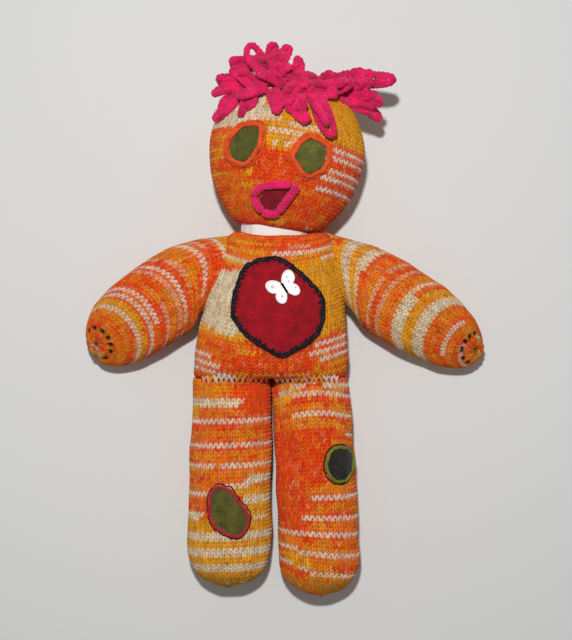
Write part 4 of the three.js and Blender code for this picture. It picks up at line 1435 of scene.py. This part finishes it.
GATHER_THREADS = (
    ("right_hand_gather", "right_arm", (-98, -18, 22), 2.4),
    ("left_hand_gather", "left_arm", (115, -22, 22), 2.4),
    ("right_foot_gather", "right_leg", (-25, -150, 22), 2.6),
    ("left_foot_gather", "left_leg", (30, -155, 22), 2.6),
)


def drawn_thread(node, inside, spread, seed):
    """Short stitches that cross at the end of a limb, where its last stitches are drawn in."""
    rng = np.random.default_rng(seed)
    low, high = (np.array(corner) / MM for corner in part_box(node))
    centre = (low + high) / 2
    out = unit(centre - np.array(inside, float))
    first = unit(np.cross(out, (0, 0, 1)))
    second = np.cross(out, first)
    share = np.linspace(-1, 1, 25)
    heap = Heap()
    for k in range(THREADS):
        turn = np.pi * (k + rng.uniform(-0.25, 0.25)) / THREADS
        along = first * math.cos(turn) + second * math.sin(turn)
        reach = spread * rng.uniform(0.85, 1.15)
        lift = -0.4 + 0.25 * k - 1.6 * share**2 * spread / 3
        path = centre + along * (share * reach)[:, None] + out * lift[:, None]
        strand(heap, evenly(path, 0.3), THREAD_RADIUS, False, 2, 3.2, 12)
    return heap.build(node + "_thread")


for number, (node, body, inside, spread) in enumerate(GATHER_THREADS):
    yarn = yarn_material(node + "_yarn", PALETTE["ochre"], 0.6, 1.2)
    finish_piece(drawn_thread(node, inside, spread, 140 + number), yarn, "knit", [node], body)

# Whip stitches over the hip creases

# The yarns of the stitches, each from one place across the hips to another
HIP_YARNS = {
    "right": [
        ("pink", -41, -37), ("gold", -37, -33), ("white", -33, -20), ("gold", -20, -12), ("orange", -12, 0),
    ],
    "left": [("white", 3, 15), ("gold", 15, 21), ("pink", 21, 27), ("gold", 27, 33), ("white", 33, 42)],
}


def hip_stitch(heap, side, x, way, rng):
    """One stitch from the body's edge over the crease and into the leg, leaning one way or the other."""
    lean = way * rng.normal(HIP_LEAN, 0.2)
    above = np.array([[x + lean, TORSO_BOTTOM + HIP_REACH[0] + rng.normal(0, 0.4)]])
    below = np.array([[x - lean, TORSO_BOTTOM - HIP_REACH[1] + rng.normal(0, 0.4)]])
    start = on_front("torso", above, np.array([-HIP_SUNK[0]]))[0]
    end = on_front(f"{side}_leg", below, np.array([-HIP_SUNK[1]]))[0]
    share = np.linspace(0, 1, 17)[:, None]
    path = start + (end - start) * share
    path[:, 2] += HIP_ARCH * np.sin(np.pi * share[:, 0]) ** 0.6
    strand(heap, evenly(path, 0.3), HIP_RADIUS * rng.uniform(0.9, 1.1), False, 3, 4.0, 12)


for side, seed in (("right", 150), ("left", 151)):
    rng = np.random.default_rng(seed)
    for number, (colour, low, high) in enumerate(HIP_YARNS[side]):
        heap = Heap()
        for count, x in enumerate(np.arange(low, high, HIP_SPACING)):
            hip_stitch(heap, side, x, 1 if count % 2 else -1, rng)
        name = f"{side}_hip_stitches_{number + 1}"
        yarn = yarn_material(name + "_yarn", PALETTE[colour], 0.8, 1.2)
        finish_piece(heap.build(name), yarn, "knit", blend=hip_blend(f"{side}_leg"))

# Butterfly button

# How far in each ring of the button's edge lies, and its height, up to the rim and down to the face
BUTTON_EDGE = ((0.3, 0), (0.05, 0.25), (0, 0.6), (0, 1.3), (0.12, 1.7), (0.4, 2.0), (0.75, 2.0), (1.1, 1.78))
# Spots on the wings: two places in half spans, and a size
SPOTS = ((-0.6, 0.44, 0.1), (0.5, 0.5, 0.05), (-0.4, -0.4, 0.07), (0.44, 0.2, 0.05), (0.6, -0.36, 0.04))
WINGS = [
    [(0, 0.32), (0.25, 1.0), (1.0, 1.1), (1, 0.5)],
    [(1, 0.5), (1, 0.15), (0.78, 0), (0.64, -0.04)],
    [(0.64, -0.04), (0.98, -0.3), (0.82, -0.9), (0.45, -0.85)],
    [(0.45, -0.85), (0.2, -0.8), (0.08, -0.5), (0, -0.3)],
]


def wing_outline():
    """Half of the butterfly as a chain of curves, and its mirror image."""
    t = np.linspace(0, 1, 40)[:-1, None]
    right = []
    for a, b, c, d in (np.array(part, float) for part in WINGS):
        right.append(a * (1 - t) ** 3 + 3 * b * t * (1 - t) ** 2 + 3 * c * t**2 * (1 - t) + d * t**3)
    right = np.concatenate(right)
    left = right[::-1] * (-1, 1)
    outline = np.concatenate([right, left]) * BUTTON_SPAN / 2
    return evenly(np.concatenate([outline, outline[:1]]), 0.25, True)


def button_frame():
    """The button's middle, and its own directions to the side, up the doll and out of it."""
    place = np.array(CHEST_AT) + np.array(BUTTON_FROM_PATCH)
    step = BUTTON_SPAN / 2
    corners = place + np.array([(0, 0), (step, 0), (-step, 0), (0, step), (0, -step)])
    points = on_front("torso", corners, np.full(len(corners), CHEST_HIGH + BUTTON_LIFT))
    east = unit(points[1] - points[2])
    up = unit(np.cross(east, points[3] - points[4]))
    north = np.cross(up, east)
    turn = (east * math.cos(BUTTON_TURN) + north * math.sin(BUTTON_TURN),
            north * math.cos(BUTTON_TURN) - east * math.sin(BUTTON_TURN))
    return points[0], turn[0], turn[1], up


def button_material():
    material, shader = new_material("button_white")
    shader.inputs["Roughness"].default_value = 0.28
    shader.inputs["Coat Weight"].default_value = 0.35
    place = add_node(material, "UVMap", uv_map="wing_place")
    base = add_node(material, "RGB")
    base.outputs[0].default_value = opaque(BUTTON_WHITE)
    colour = base.outputs[0]
    for x, y, size in SPOTS:
        apart = add_node(
            material, "VectorMath", {0: place.outputs["UV"], 1: (x, y, 0)}, operation="DISTANCE",
        )
        mask = add_node(
            material, "MapRange",
            {"Value": apart.outputs["Value"], "From Min": size, "From Max": size + 0.05,
             "To Min": 1.0, "To Max": 0.0},
        )
        mixed = add_node(
            material, "Mix", {0: mask.outputs["Result"], 6: colour, 7: opaque(SPOT_PINK)},
            data_type="RGBA",
        )
        colour = mixed.outputs[2]
    link(material, colour, shader.inputs["Base Color"])
    return material


def make_button():
    """A plate with a raised rim, whose points know their place on the wings."""
    centre, east, north, up = button_frame()
    curve = counterclockwise(wing_outline())
    plan = [(curve - outward(curve) * inset, height) for inset, height in BUTTON_EDGE]
    face, height = plan[-1]
    plan += [(face * share, height) for share in np.linspace(1, 0.02, 14)[1:]]
    heap = Heap()
    heap.add(np.stack([
        centre + place[:, :1] * east + place[:, 1:] * north + up * height for place, height in plan
    ]))
    obj = heap.build("butterfly")
    places = [place for place, _ in plan]
    places.append(np.stack([places[0].mean(axis=0), places[-1].mean(axis=0)]))
    corners = np.empty(len(obj.data.loops), np.int32)
    obj.data.loops.foreach_get("vertex_index", corners)
    local = np.concatenate(places)[corners] / (BUTTON_SPAN / 2)
    obj.data.uv_layers.new(name="wing_place").data.foreach_set("uv", local.astype(np.float32).ravel())
    return obj


def make_button_thread():
    """Black thread over the butterfly's body, through its two holes."""
    centre, east, north, up = button_frame()
    share = np.linspace(-1, 1, 21)
    lift = 2.5 - 2.2 * smooth((np.abs(share) - 0.75) / 0.25)
    heap = Heap()
    for aside in BUTTON_THREADS:
        along = share * BUTTON_THREAD_REACH - 0.1
        path = centre + north * along[:, None] + east * aside + up * lift[:, None]
        strand(heap, evenly(path, 0.2), BUTTON_THREAD_RADIUS, False, 2, 1.6, 10)
    return heap.build("button_stitches")


finish_piece(make_button(), button_material(), "button", ["butterfly_button"], "torso")
finish_piece(make_button_thread(), black_yarn, "black_yarn", ["button_thread"], "torso")

# Neck

def make_neck():
    """A tube of cotton with small folds along it."""
    angle = np.linspace(0, 2 * np.pi, 96, endpoint=False)
    folds = 0.35 * np.sin(9 * angle + 0.5) + 0.2 * np.sin(17 * angle + 1.3)
    low, high = TORSO_BOTTOM + TORSO_HEIGHT - NECK_BELOW, HEAD_BOTTOM + NECK_TUCK
    rings = []
    for k, y in enumerate(np.linspace(low, high, NECK_ROWS)):
        hem = NECK_HEM if k in (0, NECK_ROWS - 1) else 0
        radius = NECK_RADIUS + folds * (0.7 + 0.3 * math.sin(k)) - hem
        x = NECK_X + (radius + NECK_SPREAD) * np.cos(angle)
        rings.append(np.stack([x, 0 * angle + y, NECK_Z + radius * np.sin(angle)], -1))
    heap = Heap()
    heap.add(np.stack(rings)[:, ::-1])
    return heap.build("neck_cotton")


def cotton_material():
    material, shader = new_material("cotton")
    cloth_shader(shader, 0.8, 0.1)
    shader.inputs["Base Color"].default_value = opaque(COTTON_WHITE)
    place = add_node(material, "TexCoord")
    fibre_bump(material, shader, place.outputs["Object"], 1600, 0.3, 0.0003, (1, 3, 1))
    return material


finish_piece(
    make_neck(), cotton_material(), "cotton", ["neck_cover", "neck_stuffing"], "neck", fill=FILL,
)

# Hair: loops of thick yarn from three places on the head, in the head's own directions

# Each loop has a root and a tip across the head and along it, the tip's height, and the loop's width.
HAIR = {
    "right_bunch": [
        ((-17, 86), (-29, 100), 57, 8.6), ((-11.5, 88), (-8, 102), 60, 4.3),
        ((-12.5, 87), (-15.5, 104), 57, 5), ((-9.5, 86), (-12, 101), 65, 4.3),
        ((-22, 93), (-40.5, 91), 54, 7.2), ((-3.5, 85), (-2, 95.5), 62, 4),
        ((-25.5, 82.5), (-45, 79.5), 56, 6.5), ((-30, 77.5), (-45.5, 72), 52, 5.8),
        ((-33, 74.5), (-42, 59.5), 55, 2.2), ((-24.5, 75.5), (-28.5, 60.5), 70, 3.6),
        ((-16, 88.5), (-26, 89), 68, 3.6), ((-8.5, 79), (-22.5, 86), 72, 3.6),
        ((-15.5, 76.5), (-28.5, 71.5), 72, 3.6), ((-7.5, 83.5), (-15, 91.5), 68, 3.6),
        ((-14, 85.5), (-10, 100), 62, 3.6), ((-16, 81.5), (-5, 90.5), 70, 4.3),
        ((-22, 80), (-36, 85), 62, 5),
    ],
    "fringe": [
        ((-12.5, 77.5), (-6, 64), 78, 4), ((-3, 82), (-1.5, 66), 79, 3.6),
        ((-2, 73), (8, 61.5), 79, 3.6), ((10, 79), (22.5, 55), 80, 7.6),
        ((1, 84.5), (7.5, 88.5), 64, 3.6), ((-1.5, 80), (8.5, 81.5), 72, 4.3),
        ((5.5, 80.5), (-6.5, 75.5), 76, 4), ((11, 86.5), (2, 86.5), 66, 3.6),
    ],
    "left_bunch": [
        ((15, 87), (21.5, 92), 62, 3.6), ((24, 89.5), (42, 98), 54, 7.2),
        ((32.5, 92.5), (53.5, 96), 50, 6.5), ((22.5, 85.5), (49.5, 82.5), 50, 5.1),
        ((30, 83.5), (47.5, 86), 52, 3.6), ((30.5, 82.5), (50.5, 75), 40, 5.1),
        ((28, 82.5), (45.5, 76.5), 46, 3.6), ((19, 81.5), (31.5, 86), 64, 4.3),
        ((9.5, 83.5), (21, 81.5), 70, 4), ((31, 89.5), (42, 90), 58, 4.3),
    ],
}


def outside_head(points):
    """Keeps hair off the head's surface."""
    local = points[:, :2] - np.array([NECK_X, HEAD_BOTTOM])
    along, across = local @ HEAD_UP[:2], local @ HEAD_ACROSS[:2]
    over = (along < HEAD_LENGTH - 1) & (np.abs(across) < HEAD_WIDTH / 2)
    floor = front_height("head", points[:, :2]) + HAIR_CLEARANCE
    points[:, 2] = np.where(over, np.maximum(points[:, 2], floor), points[:, 2])
    return points


def hair_loop(heap, root, tip, width, rng, lift):
    """A loop from a root to a tip, whose two sides lie together or twist a little if it is narrow."""
    turn = np.linspace(0.12, 2 * np.pi - 0.12, 33)
    out = (1 - np.cos(turn)) / 2
    along = tip - root
    side = unit(np.cross(along, (0, 0, 1)))
    twist = rng.uniform(0.1, 1.5) * rng.choice([-1, 1]) * (width < WIDE_LOOP) * out
    fullness = 0.8 if width > WIDE_LOOP else 0.4
    apart = np.sign(np.sin(turn)) * np.abs(np.sin(turn)) ** fullness * width / 2
    bend = rng.normal(0, 1.1) * np.sin(np.pi * out) + rng.normal(0, 0.4) * np.sin(2 * np.pi * out)
    points = root + along * out[:, None] + side * (apart * np.cos(twist) + bend)[:, None]
    points[:, 2] += apart * np.sin(twist) + lift * np.sin(np.pi * out) + np.linspace(-1.0, 1.0, len(turn))
    path = outside_head(through(points, 0.45))
    path[:, 2] = np.maximum(path[:, 2], HAIR_RADIUS + 0.3)
    for _ in range(4):
        path[1:-1] = 0.25 * path[:-2] + 0.5 * path[1:-1] + 0.25 * path[2:]
    swell = 1 + 0.06 * wave_noise(path, 9, int(rng.integers(1000)))
    strand(heap, path, HAIR_RADIUS, False, 3, 7.5, 18, swell, depth=0.85)


def make_hair(name, loops, seed):
    """A bunch of yarn, in pairs of loops that lie one over the other."""
    rng = np.random.default_rng(seed)
    heap = Heap()
    for root, tip, height, width in loops:
        start = in_head(*root)
        start[2] = front_height("head", start[None, :2])[0] + HAIR_RADIUS
        end = in_head(*tip) + (0, 0, height)
        for over in (False, True):
            loop_start = start + rng.normal(0, HAIR_SCATTER, 3)
            nudge = rng.normal(0, HAIR_SCATTER, 3) + (0, 0, (over - 0.5) * HAIR_OVER)
            share = rng.uniform(0.68, 0.94) if over else 1.0
            loop_end = loop_start + (end - loop_start) * share + nudge
            size = max(0 if over else width, 2 * HAIR_RADIUS) * rng.uniform(0.9, 1.02)
            hair_loop(heap, loop_start, loop_end, size, rng, rng.uniform(1.0, 3.5))
    return heap.build(name)


hair_yarn = yarn_material("hair_yarn", HAIR_PINK, 0.5, 1.5, 800, 0.15)
for number, (bunch, loops) in enumerate(HAIR.items()):
    hair = make_hair(f"{bunch}_yarn", loops, 120 + number)
    finish_piece(hair, hair_yarn, "hair_yarn", [f"hair_{bunch}"], "head")

# Floor, light and camera

def add_object(name, data, place=(0, 0, 0)):
    obj = bpy.data.objects.new(name, data)
    obj.location = place
    bpy.context.scene.collection.objects.link(obj)
    return obj


def make_floor():
    mesh = bpy.data.meshes.new("floor")
    corners = [(x * FLOOR_HALF, y * FLOOR_HALF, 0) for x, y in ((-1, -1), (1, -1), (1, 1), (-1, 1))]
    mesh.from_pydata(corners, [], [(0, 1, 2, 3)])
    material, shader = new_material("floor_paper")
    shader.inputs["Base Color"].default_value = opaque(FLOOR_GREY)
    shader.inputs["Roughness"].default_value = 0.7
    mesh.materials.append(material)
    add_object("floor", mesh)


def make_light():
    light = bpy.data.lights.new("key", "AREA")
    light.shape = "DISK"
    light.size = KEY_SIZE
    light.energy = KEY_POWER
    obj = add_object("key", light, KEY_AT)
    obj.rotation_euler = (-Vector(KEY_AT)).to_track_quat("-Z", "Y").to_euler()


def make_camera():
    camera = bpy.data.cameras.new("camera")
    camera.sensor_width = 36
    camera.lens = CAMERA_LENS
    camera.clip_start = 0.01
    bpy.context.scene.camera = add_object("camera", camera, [v * MM for v in CAMERA_AT])


def make_world():
    world = bpy.data.worlds.new("studio")
    world.use_nodes = True
    background = world.node_tree.nodes["Background"]
    background.inputs["Color"].default_value = (1, 1, 1, 1)
    background.inputs["Strength"].default_value = WORLD_STRENGTH
    bpy.context.scene.world = world


make_floor()
make_world()
make_light()
make_camera()
bpy.context.scene.view_settings.view_transform = "Standard"
